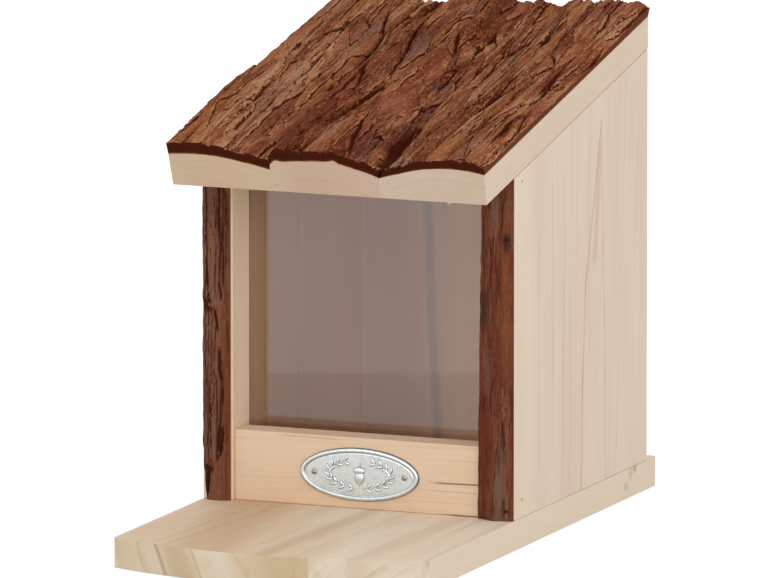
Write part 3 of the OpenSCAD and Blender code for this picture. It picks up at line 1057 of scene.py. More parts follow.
@dataclass
class BoxWalls:
    """Wall panels, front stiles and the back panel.

    Attributes:
        edge: Rounding of the boards' edges.
    """

    edge: float = 0.5

    def finishes(self) -> dict[str, Pine]:
        """Chooses the pine of each board.

        Returns:
            The finishes by CAD node.
        """
        brown = (0.46, 0.30, 0.18)
        grey = (0.47, 0.37, 0.29)
        pale, warm, late = (0.725, 0.605, 0.500), (0.69, 0.56, 0.45), (0.55, 0.40, 0.28)
        return {
            "right_wall_panel": Pine(
                "pine_wall_right", Grain.UPRIGHT,
                pith=(71.0, 44.0), lean=(0.055, 0.0187), ring=3.6, pale=pale, warm=warm, late=late, contrast=0.42,
                wander=1.2,
                streaks=(
                    Streak(60.5, 0.125, 5.0, (0.56, 0.36, 0.26), 0.45, start=122.0, end=194.0, sway=0.6),
                    Streak(58.2, 0.026, 1.2, brown, 0.50, end=84.0, sway=0.3),
                    Streak(55.2, 0.0764, 1.2, brown, 0.50, start=54.0, end=132.0, sway=0.3),
                    Streak(32.3, 0.269, 1.3, brown, 0.55, start=108.0, end=206.0, sway=0.3),
                    Streak(92.85, -0.0252, 0.9, brown, 0.45, end=114.0, sway=0.3),
                    Streak(95.2, -0.05, 0.9, brown, 0.45, start=90.0, end=206.0, sway=0.3),
                    Streak(0.5, 0.0, 1.8, grey, 0.30, start=30.0, end=160.0),
                    Streak(18.7, 0.0, 2.2, grey, 0.26, start=70.0, end=185.0),
                    Streak(33.4, 0.01, 1.5, grey, 0.30, start=10.0, end=165.0),
                    Streak(42.7, 0.01, 2.4, grey, 0.22, end=125.0),
                ),
            ),
            "left_wall_panel": Pine(
                "pine_wall_left", Grain.UPRIGHT,
                pith=(39.0, -130.0), lean=(-0.03, 0.01), ring=3.4, pale=pale, warm=warm, late=late, contrast=0.40,
            ),
            "right_front_stile": Pine(
                "pine_stile_right", Grain.UPRIGHT,
                pith=(-121.0, 30.0), ring=2.4, pale=(0.745, 0.64, 0.50), warm=(0.71, 0.59, 0.45), late=late,
                contrast=0.22, wander=0.8,
            ),
            "left_front_stile": Pine(
                "pine_stile_left", Grain.UPRIGHT,
                pith=(-111.0, -20.0), ring=2.6, pale=(0.80, 0.645, 0.475), warm=(0.75, 0.575, 0.405), late=late,
                contrast=0.30,
            ),
            "back_panel": Pine(
                "pine_back", Grain.UPRIGHT,
                pith=(99.0, 20.0), lean=(0.0, 0.02), ring=4.5, pale=pale, warm=warm, late=late, contrast=0.35,
            ),
        }

    def lit_and_shaded_inner_finishes(self) -> dict[str, tuple[Pine, Vector]]:
        """Chooses lit and shaded copies of the pine for the faces inside the box, whose colours and streaks are
        painted light and shade of the closed box.

        Returns:
            The finishes by CAD node, with the way that the faces point.
        """
        outside = self.finishes()
        left = replace(
            outside["left_wall_panel"],
            name="pine_wall_left_inside_lit_copy",
            # Painted light: warmer and paler wood than outside, for light bounced between the walls.
            pale=(0.84, 0.64, 0.475), warm=(0.80, 0.59, 0.42),
            # Painted light and shade: a pale band and a warm orange glow near the front, and a darker orange line
            # behind them.
            streaks=(
                Streak(4.0, 0.0, 26.0, (0.95, 0.64, 0.38), 0.85),
                Streak(-3.0, 0.0, 9.0, (0.98, 0.78, 0.58), 0.80),
                Streak(12.0, 0.0, 4.0, (0.72, 0.40, 0.17), 0.55),
            ),
        )
        back = replace(
            outside["back_panel"],
            name="pine_back_inside_shaded_copy",
            pale=(0.76, 0.59, 0.455), warm=(0.72, 0.55, 0.415),
            # Painted shade: a broad dark band over the left part of the panel with a dark grey line in it.
            streaks=(
                Streak(-55.0, -0.02, 46.0, (0.42, 0.30, 0.25), 0.82, depth=True),
                Streak(-26.0, -0.05, 4.2, (0.30, 0.28, 0.30), 0.75, depth=True),
            ),
        )
        return {"left_wall_panel": (left, Vector((1.0, 0.0, 0.0))), "back_panel": (back, Vector((0.0, -1.0, 0.0)))}

    def build(self) -> None:
        """Builds the boards."""
        inside = self.lit_and_shaded_inner_finishes()
        for node, pine in self.finishes().items():
            bm = node_copy(node)
            soften(bm, self.edge)
            coats = [pine.material()]
            # Faces inside the box take the copy with painted light and shade.
            if node in inside:
                inner, way = inside[node]
                coats.append(inner.material())
                bm.normal_update()
                for face in bm.faces:
                    face.material_index = int(face.normal.dot(way) > 0.99)
            put_together(node, bm, coats, Body.BOX)


@dataclass
class FrontFrame:
    """The two rails and the clear pane behind them.

    Attributes:
        rail_edge: Rounding of the rails' edges.
        pane_edge: Polished edge of the pane.
    """

    rail_edge: float = 0.7
    pane_edge: float = 0.25

    def finishes(self) -> dict[str, Pine]:
        """Chooses the pine of each rail.

        Returns:
            The finishes by CAD node.
        """
        dark = (0.20, 0.10, 0.05)
        tan = (0.50, 0.29, 0.16)
        return {
            "front_rail": Pine(
                "pine_front_rail", Grain.ACROSS,
                pith=(-61.0, 96.0), lean=(0.0, 0.02), ring=3.0, pale=(0.76, 0.58, 0.42), warm=(0.72, 0.515, 0.35),
                late=(0.56, 0.36, 0.22), contrast=0.42, wander=1.5,
                streaks=(
                    Streak(31.0, 0.004, 0.75, dark, 0.85, start=34.0, depth=True, sway=0.7),
                    Streak(27.0, 0.0, 0.35, tan, 0.60, start=30.0, depth=True, sway=0.7),
                    Streak(43.5, -0.01, 0.4, tan, 0.45, start=45.0, depth=True, sway=0.7),
                    Streak(21.5, 0.0, 0.4, tan, 0.35, start=-20.0, depth=True, sway=0.7),
                    Streak(49.8, 0.0, 0.5, tan, 0.60, start=-50.0, end=-5.0, depth=True, sway=0.5),
                    # Painted shadow: a dark line along the rail's foot on the right stands in for the shade in the
                    # gap under it.
                    Streak(15.4, 0.0, 0.8, dark, 0.80, start=40.0, depth=True, sway=0.3),
                ),
            ),
            "top_rail": Pine("pine_top_rail", Grain.ACROSS, pith=(-51.0, 120.0), ring=3.0),
        }

    def build(self) -> None:
        """Builds the rails and the pane."""
        for node, pine in self.finishes().items():
            bm = node_copy(node)
            soften(bm, self.rail_edge)
            put_together(node, bm, [pine.material()], Body.BOX)
        bm = node_copy("window_pane")
        soften(bm, self.pane_edge, segments=2, shortest=1.0)
        clear = ClearSheet("acrylic_clear").material()
        put_together("window_pane", bm, [clear], Body.BOX, Make.SHEET)


class BarkSpot(NamedTuple):
    """One place on bark.

    Attributes:
        height: Its height above the mean skin.
        tone: How pale it is.
        own: The random number of its flake.
        crevice: How much painted shade it gets from lying in a fissure or at the foot of a higher flake, from 0 to 1.
    """

    height: float
    tone: float
    own: float
    crevice: float


class Flake(NamedTuple):
    """The flake of bark at a place.

    Attributes:
        top: Its height there, as a share of the rise.
        own: Its own random number.
        border: Distance to its border.
        foot: How close the place is to the foot of a higher flake; it lowers the skin a little and darkens it as
            painted shade.
        lip_highlight: How close the place is to a border above a lower flake; it pales it as a painted highlight.
    """

    top: float
    own: float
    border: float
    foot: float
    lip_highlight: float


@dataclass(frozen=True)
class Patch:
    """A soft-edged place on bark that drifts to another colour.

    Attributes:
        hue: The number layer that it adds to.
        centre: Its centre, across and along the fibres.
        reach: How far it spreads across and along.
        strength: How much it colours; 1 covers the bark's own colour.
        lean: How far its middle moves across for each millimetre along.
    """

    hue: Hue
    centre: tuple[float, float]
    reach: tuple[float, float]
    strength: float
    lean: float = 0.0

    def at(self, x: float, v: float) -> float:
        """How much the patch colours a place.

        Args:
            x: Place across the fibres.
            v: Place along the fibres.

        Returns:
            A share that fades out at the patch's border.
        """
        off_v = v - self.centre[1]
        off_x = x - self.centre[0] - self.lean * off_v + 2.0 * ripple(x / 4.0, v / 14.0, 91.0)
        return self.strength * (1.0 - ease(0.3, 1.0, math.hypot(off_x / self.reach[0], off_v / self.reach[1])))


@dataclass(frozen=True)
class Relief:
    """Sizes of the fissures, flakes and chips of a piece of bark.

    Attributes:
        seed: Where in the noise the piece lies.
        tone: How much paler the whole piece is.
        plate: Width and length of the plates between fissures.
        flake: Width and length of the flakes that overlap on the plates.
        chip: Width and length of the small chips on the flakes.
        bulge: How far plates bulge between fissures.
        rises: How far the heights of plates, flakes and chips differ.
        fissure: Depth of the fissures.
        fibre: Depth of the fibres.
        ragged: How far fissures and flakes fray sideways.
    """

    seed: float
    tone: float = 0.0
    plate: tuple[float, float] = (9.0, 110.0)
    flake: tuple[float, float] = (4.8, 52.0)
    chip: tuple[float, float] = (2.1, 17.0)
    bulge: float = 0.9
    rises: tuple[float, float, float] = (1.6, 1.5, 0.9)
    fissure: float = 1.8
    fibre: float = 0.25
    ragged: float = 1.0

    @staticmethod
    def _flake(x: float, v: float, size: tuple[float, float], seed: float) -> Flake:
        """The flake at a place, among flakes that are each level or tilted by themselves.

        Args:
            x: Place across the fibres.
            v: Place along the fibres.
            size: Width and length of a flake.
            seed: Where in the noise the flakes lie.

        Returns:
            The flake there.
        """
        place = Vector((x / size[0], v / size[1], seed))
        gaps, middles = noise.voronoi(place)
        tops = []
        for middle in middles[:2]:
            tilt = luck(middle, 2.0) - 0.5, luck(middle, 3.0) - 0.5
            slant = 0.9 * tilt[0] * (place.x - middle.x) + tilt[1] * (place.y - middle.y)
            tops.append(luck(middle, 1.0) - 0.5 + slant)
        apart = middles[1] - middles[0]
        spread = max(math.hypot(apart.x / size[0], apart.y / size[1]), 0.001)
        border = 0.5 * (gaps[1] ** 2 - gaps[0] ** 2) / spread
        step = tops[1] - tops[0]
        beside = ease(0.55, 0.97, abs(apart.x) / size[0] / spread)
        near = (1.0 - ease(0.12, 0.35 + 0.12 * size[0], border)) * blend(0.15, 1.0, beside)
        own = luck(middles[0], 4.0)
        return Flake(tops[0], own, border / blend(0.25, 1.0, beside), near * ease(0.0, 0.35, step),
                     near * ease(0.0, 0.35, -step))

    def at(self, x: float, v: float) -> BarkSpot:
        """Height and looks of the bark at a place.

        Args:
            x: Place across the fibres.
            v: Place along the fibres.

        Returns:
            The height, the tone, the plate's own random number and the painted shade of fissures and flake feet.
        """
        s, ragged = self.seed, self.ragged
        wx = x + ragged * (
            3.4 * ripple(x / 42.0, v / 95.0, s)
            + 1.0 * ripple(x / 7.0, v / 22.0, s + 5.0)
            + 0.6 * ripple(x / 1.6, v / 6.0, s + 6.0)
        )
        wv = v + ragged * (8.0 * ripple(x / 9.0, v / 45.0, s + 9.0) + 2.5 * ripple(x / 1.5, v / 14.0, s + 10.0))
        plate = self._flake(wx, wv, self.plate, s + 50.0)
        flake = self._flake(wx, wv, self.flake, s + 20.0)
        chip = self._flake(wx, wv, self.chip, s + 25.0)
        gaping = ease(-0.3, 0.3, ripple(x / 16.0, v / 38.0, s + 56.0))
        chippy = blend(0.3, 1.0, ease(-0.25, 0.25, ripple(x / 12.0, v / 36.0, s + 60.0)))
        crack = (1.0 - ease(0.1, blend(0.6, 1.4, gaping), plate.border)) * blend(0.4, 1.0, gaping)
        thread = 0.6 * ripple(wx / 1.2, v / 14.0, s + 31.0) + 0.4 * ripple(wx / 0.6, v / 4.0, s + 37.0)
        height = self.bulge * (ease(0.0, 3.0, plate.border) - 0.6) + self.rises[0] * plate.top
        height += self.rises[1] * flake.top + self.rises[2] * chippy * chip.top
        height += self.fibre * thread - self.fissure * crack - 0.3 * flake.foot
        tone = 0.5 + self.tone + 0.50 * ripple(wx / 9.0, wv / 50.0, s + 80.0) + 0.35 * (plate.own - 0.5)
        tone += 0.45 * (flake.own - 0.5) + 0.50 * chippy * (chip.own - 0.5) + 0.20 * thread
        # Painted highlight: places on a border above a lower flake, chip or plate are paler.
        tone += 0.55 * max(flake.lip_highlight, chippy * chip.lip_highlight, 0.8 * plate.lip_highlight)
        # Painted shade: fissures and the feet of higher flakes and chips are darkened.
        return BarkSpot(height, tone, flake.own, max(crack, flake.foot, 0.9 * chippy * chip.foot))


def bark_layers(bm: BMesh) -> Layers:
    """Number layers that the bark's finishes read."""
    names = ("tone", "own", "crevice", "rise", *(hue.value for hue in Hue))
    return {name: bm.verts.layers.float.new(name) for name in names}


def paint(vert: BMVert, layers: Layers, spot: BarkSpot, tints: dict[Hue, float]) -> None:
    """Leaves the looks of a place on a vertex of the bark's skin.

    Args:
        vert: The vertex.
        layers: The number layers to fill in.
        spot: The looks of the place.
        tints: How much each hue colours it.
    """
    looks = {"tone": spot.tone, "own": spot.own, "crevice": spot.crevice, "rise": 1.0}
    for name, value in looks.items():
        vert[layers[name]] = value
    for hue, share in tints.items():
        vert[layers[hue.value]] = share


def tints_at(patches: Iterable[Patch], x: float, v: float) -> dict[Hue, float]:
    """Adds up the patches of each hue at a place.

    Args:
        patches: The patches of the piece.
        x: Place across the fibres.
        v: Place along the fibres.

    Returns:
        How much each hue colours the place.
    """
    tints: dict[Hue, float] = {}
    for patch in patches:
        tints[patch.hue] = max(tints.get(patch.hue, 0.0), patch.at(x, v))
    return tints


def thick_grid(bm: BMesh, across: int, along: int) -> tuple[Verts, Verts]:
    """A closed block with a fine grid on top and long plain faces below.

    Args:
        bm: An empty bmesh.
        across: Cells over the first direction.
        along: Cells over the second direction.

    Returns:
        Vertices of the lower border and of the upper grid, whose x and y run from 0 to 1.
    """
    bmesh.ops.create_grid(bm, x_segments=across, y_segments=along, size=0.5)
    bmesh.ops.translate(bm, vec=(0.5, 0.5, 1.0), verts=bm.verts)
    upper = list(bm.verts)
    rim = [edge for edge in bm.edges if edge.is_boundary]
    grown = bmesh.ops.extrude_edge_only(bm, edges=rim)["geom"]
    lower = [item for item in grown if isinstance(item, BMVert)]
    bmesh.ops.translate(bm, vec=(0.0, 0.0, -1.0), verts=lower)
    bmesh.ops.contextual_create(bm, geom=[item for item in grown if isinstance(item, BMEdge)])
    ends = [[vert for vert in lower if abs(vert.co.y - end) < 1e-5] for end in (0.0, 1.0)]
    near, far = (sorted(verts, key=lambda vert: vert.co.x) for verts in ends)
    for first, second in zip(near[1:-1], far[1:-1]):
        shared = set(first.link_faces) & set(second.link_faces)
        bmesh.utils.face_split(shared.pop(), first, second)
    bmesh.ops.recalc_face_normals(bm, faces=bm.faces)
    return lower, upper


@dataclass(frozen=True)
class Swell:
    """A line up the slope along which bark stands higher or lower.

    Attributes:
        x: Place of the line.
        reach: How far to its sides it fades out.
        lifts: Slope place and lift, from the eave up.
    """

    x: float
    reach: float
    lifts: Line

    def at(self, x: float, v: float) -> float:
        """Lift at a place."""
        return stepped(self.lifts, v) * (1.0 - ease(0.0, self.reach, abs(x - self.x)))


@dataclass(frozen=True)
class SlabShape:
    """The cross-section of one roof slab and the bark on it.

    Attributes:
        side: Name of the slab.
        left: Place of its left edge.
        right: Place of its right edge.
        crown: Place of its crown.
        heights: Wood height at the left edge, the crown and the right edge.
        waney: Small steps of the wood's upper face, as place and rise.
        bark: Bark thickness, as place and thickness.
        swells: Lines along which the bark is thicker or thinner.
        laps: How far the bark reaches over its left and right edges, as slope place and reach.
        relief: Sizes of the bark's plates.
        patches: Places where the bark has another colour.
        pith: Place of the pith, across and above the underside.
        end: Colour that the end grain is multiplied by.
    """

    side: str
    left: float
    right: float
    crown: float
    heights: tuple[float, float, float]
    waney: Line
    bark: Line
    swells: tuple[Swell, ...]
    laps: tuple[Line, Line]
    relief: Relief
    patches: tuple[Patch, ...]
    pith: tuple[float, float]
    end: Colour

    def wood(self, x: float) -> float:
        """Height of the CAD slab's wood.

        Args:
            x: Place across the roof.

        Returns:
            The height above the underside.
        """
        edge, height = (self.left, self.heights[0]) if x < self.crown else (self.right, self.heights[2])
        share = (x - self.crown) / (edge - self.crown)
        return self.heights[1] - (self.heights[1] - height) * share * share


LEFT_SLAB = SlabShape(
    "left", -84.0, -31.0, -70.0, (16.2, 17.0, 10.9),
    waney=((-84.0, 0.0), (-60.0, 0.0), (-45.0, -0.3), (-31.0, 0.3)),
    bark=((-84.0, 4.8), (-68.0, 5.6), (-50.0, 5.0), (-40.0, 4.4), (-31.0, 4.6)),
    swells=(
        Swell(-84.0, 16.0, ((17.0, 1.2), (50.0, 1.4), (84.0, 1.7), (106.0, 0.2), (130.0, -1.3), (173.0, -2.2),
                            (207.0, -3.2))),
    ),
    laps=(((0.0, -0.3),), ((0.0, -0.3), (40.0, 0.6), (222.0, 0.6))),
    relief=Relief(3.7, tone=0.09, plate=(9.5, 120.0), flake=(5.2, 58.0), chip=(2.5, 24.0), rises=(1.7, 1.5, 0.7)),
    patches=(
        Patch(Hue.ORANGE, (-79.0, 40.0), (9.0, 60.0), 0.75),
        Patch(Hue.ORANGE, (-80.0, 150.0), (7.0, 60.0), 0.5),
        Patch(Hue.ORANGE, (-58.0, 12.0), (6.0, 18.0), 0.5),
        Patch(Hue.GREY, (-57.0, 80.0), (9.0, 55.0), 0.7, -0.03),
        Patch(Hue.GREY, (-48.0, 165.0), (7.0, 45.0), 0.5),
        Patch(Hue.RED, (-34.0, 55.0), (8.0, 60.0), 0.75),
        Patch(Hue.RED, (-40.0, 140.0), (6.0, 40.0), 0.5),
    ),
    pith=(-62.0, -75.0), end=(0.78, 0.72, 0.64),
)
MIDDLE_SLAB = SlabShape(
    "middle", -31.0, 27.0, -5.0, (14.2, 18.0, 10.2),
    waney=((-31.0, -0.6), (-28.5, 1.5), (-23.5, -0.2), (-11.0, -0.9), (-1.0, -0.5), (3.6, 0.8), (6.2, -0.4),
           (15.0, -0.6), (27.0, 0.5)),
    bark=((-31.0, 5.6), (-26.0, 6.6), (-8.0, 5.4), (6.0, 4.8), (15.0, 5.2), (27.0, 4.4)),
    swells=(
        Swell(-26.5, 6.0, ((185.0, 0.0), (222.0, -9.0))),
        Swell(22.0, 8.0, ((0.0, 0.6), (190.0, 0.0), (222.0, 1.5))),
    ),
    laps=(
        ((0.0, -0.4), (30.0, 1.2), (222.0, 1.0)),
        ((0.0, 0.2), (8.0, -2.2), (50.0, -2.2), (64.0, -0.8), (120.0, -1.3), (222.0, -0.6)),
    ),
    relief=Relief(11.3, tone=-0.34, plate=(11.0, 85.0), flake=(5.5, 36.0), chip=(2.3, 12.0)),
    patches=(
        Patch(Hue.RED, (-24.0, 60.0), (9.0, 75.0), 0.7),
        Patch(Hue.GREY, (-9.0, 32.0), (6.0, 32.0), 0.6, 0.02),
        Patch(Hue.RED, (8.0, 60.0), (10.0, 60.0), 0.7),
        # Painted shade patches darken the slab's right border, where it sinks along the seam, and one place further
        # left.
        Patch(Hue.PAINTED_SHADE, (14.0, 25.0), (10.0, 35.0), 0.4),
        Patch(Hue.PAINTED_SHADE, (20.0, 106.0), (5.0, 14.0), 0.9),
        Patch(Hue.PAINTED_SHADE, (24.0, 70.0), (7.0, 90.0), 0.6),
        Patch(Hue.GOLD, (19.5, 166.0), (4.5, 34.0), 0.85, 0.16),
        Patch(Hue.RED, (20.0, 215.0), (12.0, 22.0), 0.8),
        Patch(Hue.PAINTED_SHADE, (-12.0, 150.0), (9.0, 60.0), 0.35),
    ),
    pith=(-6.0, -60.0), end=(0.77, 0.69, 0.67),
)
RIGHT_SLAB = SlabShape(
    "right", 27.0, 84.0, 66.0, (10.0, 17.8, 15.8),
    waney=((27.0, 0.4), (38.0, -0.3), (50.0, 0.0), (66.0, 0.0), (84.0, 0.0)),
    bark=((27.0, 2.6), (34.0, 4.2), (57.0, 4.6), (70.0, 5.0), (79.0, 4.6), (84.0, 3.0)),
    swells=(
        Swell(27.0, 11.0, ((0.0, -1.6), (14.0, -1.2), (30.0, 1.0), (70.0, 2.0), (130.0, 3.0), (190.0, 4.5),
                           (222.0, 8.0))),
        Swell(45.0, 12.0, ((120.0, 0.0), (222.0, 2.0))),
        Swell(80.0, 12.0, ((150.0, 0.0), (222.0, 1.8))),
    ),
    laps=(((0.0, -0.6), (8.0, -2.0), (44.0, -2.0), (62.0, 2.0), (222.0, 2.8)), ((0.0, -0.3),)),
    relief=Relief(23.9, tone=0.0, plate=(8.5, 130.0), flake=(4.6, 65.0), chip=(2.0, 20.0)),
    patches=(
        Patch(Hue.GREY, (33.5, 9.0), (4.5, 15.0), 1.8, 0.05),
        Patch(Hue.ORANGE, (55.0, 22.0), (9.0, 26.0), 0.8),
        Patch(Hue.ORANGE, (61.0, 66.0), (6.0, 16.0), 0.8),
        Patch(Hue.GREY, (70.0, 18.0), (7.0, 24.0), 0.6),
        Patch(Hue.GREY, (42.0, 150.0), (7.0, 80.0), 0.45, 0.03),
        Patch(Hue.RED, (82.0, 82.0), (4.0, 16.0), 0.9),
        Patch(Hue.RED, (66.0, 216.0), (9.0, 26.0), 0.8),
        Patch(Hue.RED, (74.0, 120.0), (8.0, 45.0), 0.5),
    ),
    pith=(64.0, -55.0), end=(0.81, 0.79, 0.78),
)


@dataclass
class Roof:
    """The three slabs of the lid and the bark on them.

    Attributes:
        slabs: The slabs from left to right.
        pitch: Slope in degrees.
        eave: Place of the front lower edge along Y and Z.
        back: Place of the plumb cut at the back.
        cell: Width and length of the cells that the bark is sculpted on.
        edge: Rounding of the slabs' edges.
        waist: Height above which a slab's vertices belong to its upper face.
        ragged: How far the bark's edges wander.
        fray: How far up from the eave the front edge wanders.
        splay: How far the upper edge of the left side leans out.
        splay_reach: How far from the left side that leaning fades out.
        splay_height: Height at which the side leans out that far.
        skin: Mean thickness of the bark.
        crest: Mean height of the bark's skin.
        calm: How far from the roof's sides and from its ends the relief is lower.
        hem: How far from a slab's edges its bark moves with them.
        sink: How far the bark sinks where it ends short of its slab's edge.
        flank: How far from the roof's sides a sawn face counts as a side.
    """

    slabs: tuple[SlabShape, ...] = (LEFT_SLAB, MIDDLE_SLAB, RIGHT_SLAB)
    pitch: float = ROOF_PITCH
    eave: tuple[float, float] = (-70.0, 180.223)
    back: float = 150.0
    cell: tuple[float, float] = (0.38, 0.58)
    edge: float = 0.35
    waist: float = 6.0
    ragged: float = 0.9
    fray: float = 3.0
    splay: float = 1.3
    splay_reach: float = 14.0
    splay_height: float = 17.0
    skin: float = 5.0
    crest: float = 20.0
    calm: tuple[float, float] = (9.0, 8.0)
    hem: float = 7.0
    sink: float = 2.6
    flank: float = 4.0

    @property
    def turn(self) -> float:
        """Slope in radians."""
        return math.radians(self.pitch)

    def place(self, x: float, v: float, w: float) -> Vector:
        """A point on the slope.

        Args:
            x: Place across the roof.
            v: Place up the slope from the eave.
            w: Height above the underside.

        Returns:
            The point in metres in the part's frame.
        """
        y = self.eave[0] + v * math.cos(self.turn) - w * math.sin(self.turn)
        z = self.eave[1] + v * math.sin(self.turn) + w * math.cos(self.turn)
        return Vector((x - self.lean(x, w), y, z)) * MM

    def lean(self, x: float, w: float) -> float:
        """How far the splayed left side moves a point outwards."""
        return self.splay * (1.0 - ease(-HALF_WIDTH, self.splay_reach - HALF_WIDTH, x)) * w / self.splay_height

    def run(self, w: float) -> float:
        """Length of the slope from the eave to the plumb cut at a height above the underside."""
        return (self.back - self.eave[0]) / math.cos(self.turn) + w * math.tan(self.turn)

    def height(self, point: Vector) -> float:
        """Height of a point above the roof's underside."""
        y, z = point.y / MM - self.eave[0], point.z / MM - self.eave[1]
        return z * math.cos(self.turn) - y * math.sin(self.turn)

    def pine(self, slab: SlabShape) -> Pine:
        """Chooses the pine of one slab.

        Args:
            slab: The slab's shape.

        Returns:
            Its finish.
        """
        rise = self.eave[1] * math.cos(self.turn) - self.eave[0] * math.sin(self.turn)
        return Pine(
            "pine_slab_" + slab.side, Grain.UP_THE_SLOPE,
            pith=(slab.pith[0], rise + slab.pith[1]), ring=3.6, pale=(0.70, 0.575, 0.45), warm=(0.67, 0.53, 0.40),
            late=(0.52, 0.38, 0.26), contrast=0.20, wander=2.6, end=slab.end, end_rings=2.4, pitch=self.pitch,
        )

    def build_slab(self, slab: SlabShape) -> None:
        """Builds the wood of one slab, with the uneven face that the bark grew on.

        Args:
            slab: The slab's shape.
        """
        node = "roof_slab_" + slab.side
        bm = node_copy(node)
        soften(bm, self.edge, lambda edge: all(self.height(vert.co) < CLOSE for vert in edge.verts), 2)
        off_slope = Vector((0.0, -math.sin(self.turn), math.cos(self.turn)))
        plumb = Vector((0.0, 0.0, 1.0 / math.cos(self.turn)))
        for vert in bm.verts:
            x, w = vert.co.x / MM, self.height(vert.co)
            if w > self.waist:
                at_back = abs(vert.co.y / MM - self.back) < CLOSE
                vert.co += stepped(slab.waney, x) * MM * (plumb if at_back else off_slope)
            vert.co.x -= self.lean(x, w) * MM
        put_together(node, bm, [self.pine(slab).material()], Body.ROOF)

    def sculpt(self, slab: SlabShape, vert: BMVert, layers: Layers) -> None:
        """Places one vertex of the bark's skin, whose x and y are shares of the slab's width and length.

        Args:
            slab: The slab that carries the bark.
            vert: The vertex.
            layers: The number layers to fill in.
        """
        u, t = vert.co.x, vert.co.y
        width = slab.right - slab.left
        x = slab.left + width * u
        w = slab.wood(x) + stepped(slab.waney, x)
        v = self.run(w + self.skin) * t
        spot = slab.relief.at(x, v)
        outer, ends = HALF_WIDTH - abs(x), min(v, self.run(w) - v)
        calm = blend(0.3, 1.0, ease(0.0, self.calm[0], outer)) * blend(0.5, 1.0, ease(0.0, self.calm[1], ends))
        swell = sum(swell.at(x, v) for swell in slab.swells)
        inner = max(1.0 - min(u, 1.0 - u) * width / self.hem, 0.0)
        lap = stepped(slab.laps[int(u > 0.5)], v)
        dip = ease(0.4, 2.0, -lap) * ease(0.30, 0.70, inner)
        w += max(stepped(slab.bark, x) + swell + spot.height * calm - self.sink * dip, BARK_LEAST)
        v = self.run(w) * t
        # Painted shade: where the bark sinks along a slab's edge, the dip also darkens it along the seam.
        paint(vert, layers, spot._replace(crevice=max(spot.crevice, 1.3 * dip)), tints_at(slab.patches, x, v))
        frayed = ripple(v / 9.0, slab.left + u, 71.0) + 0.5 * ripple(v / 2.5, slab.left + u, 72.0)
        x += math.copysign((lap + self.ragged * min(frayed, 0.6 - lap if outer < 5.0 else 1.0)) * inner, u - 0.5)
        if v < self.fray:
            v += self.ragged * ripple(x / 5.0, slab.left, 77.0) * (1.0 - v / self.fray)
        vert.co = self.place(x, v, w)

    def build_bark(self, slab: SlabShape, finishes: Sequence[bpy.types.Material]) -> None:
        """Sculpts the bark of one slab.

        Args:
            slab: The slab that carries it.
            finishes: The skin, the sawn front and back edges, and the sawn sides.
        """
        bm = bmesh.new()
        layers = bark_layers(bm)
        width = slab.right - slab.left
        lower, upper = thick_grid(bm, round(width / self.cell[0]), round(self.run(self.crest) / self.cell[1]))
        for vert in lower:
            x = slab.left + width * vert.co.x
            w = slab.wood(x) + stepped(slab.waney, x) + BARK_GAP
            vert.co = self.place(x, self.run(w) * vert.co.y, w)
        for vert in upper:
            self.sculpt(slab, vert, layers)
        up_slope = Vector((0.0, math.cos(self.turn), math.sin(self.turn)))
        top = set(upper)
        bm.normal_update()
        for face in bm.faces:
            levels = {vert in top for vert in face.verts}
            if levels == {True}:
                face.smooth = True
            elif len(levels) == 2:
                outside = abs(face.calc_center_median().x) > (HALF_WIDTH - self.flank) * MM
                face.material_index = 2 if outside and abs(face.normal.dot(up_slope)) < 0.6 else 1
        put_together("roof_bark_" + slab.side, bm, finishes, Body.ROOF, Make.SCULPTED)

    def build(self) -> None:
        """Builds the slabs and their bark."""
        finishes = [
            BarkSkin("bark_roof").material(),
            BarkCut(
                "bark_roof_sawn", dark=(0.044, 0.0085, 0.0030), light=(0.070, 0.016, 0.006), inner=(0.36, 0.15, 0.055)
            ).material(),
            BarkCut(
                "bark_roof_side", dark=(0.105, 0.030, 0.012), light=(0.25, 0.095, 0.040), inner=(0.45, 0.24, 0.10)
            ).material(),
        ]
        for slab in self.slabs:
            self.build_slab(slab)
            self.build_bark(slab, finishes)


@dataclass(frozen=True)
class RaisedPlate:
    """A thicker plate on a bark strip, from the strip's left edge to a wavering line.

    Attributes:
        line: Height and place of its right border, from the lower end to the upper one.
        lift: How far it stands out.
    """

    line: Line
    lift: float

    def inside(self, x: float, z: float) -> tuple[float, float]:
        """How far inside the plate a place lies.

        Args:
            x: Place across the strip.
            z: Height.

        Returns:
            Distances from the plate's side and from its ends, negative outside it.
        """
        wander = 0.9 * ripple(z / 11.0, 0.0, 61.0) + 0.5 * ripple(z / 3.5, 0.0, 62.0)
        frayed = 5.0 * ripple(x / 1.6, 0.0, 63.0)
        ends = min(z - self.line[0][0], self.line[-1][0] - z) + frayed
        return stepped(self.line, z) + wander - x, ends


@dataclass(frozen=True)
class Furrow:
    """A groove that runs down a bark strip, darkened with painted shade.

    Attributes:
        line: Height and place of its middle, from the lower end to the upper one.
        width: Half its width.
        depth: Its depth and the strength of its painted shade, from 0 to 1.
    """

    line: Line
    width: float
    depth: float

    def at(self, x: float, z: float) -> float:
        """How deep the groove is at a place.

        Args:
            x: Place across the strip.
            z: Height.

        Returns:
            The depth, from 0 to 1.
        """
        wander = 0.45 * ripple(z / 6.0, self.line[0][1], 66.0) + 0.25 * ripple(z / 2.2, self.line[0][1], 67.0)
        low, high = self.line[0][0], self.line[-1][0]
        ends = ease(low - 2.0, low + 4.0, z) * (1.0 - ease(high - 4.0, high + 2.0, z))
        wide = self.width * blend(0.6, 1.4, ease(-0.4, 0.4, ripple(z / 7.0, self.line[0][1], 68.0)))
        return self.depth * ends * (1.0 - ease(0.25 * wide, wide, abs(x - stepped(self.line, z) + wander)))


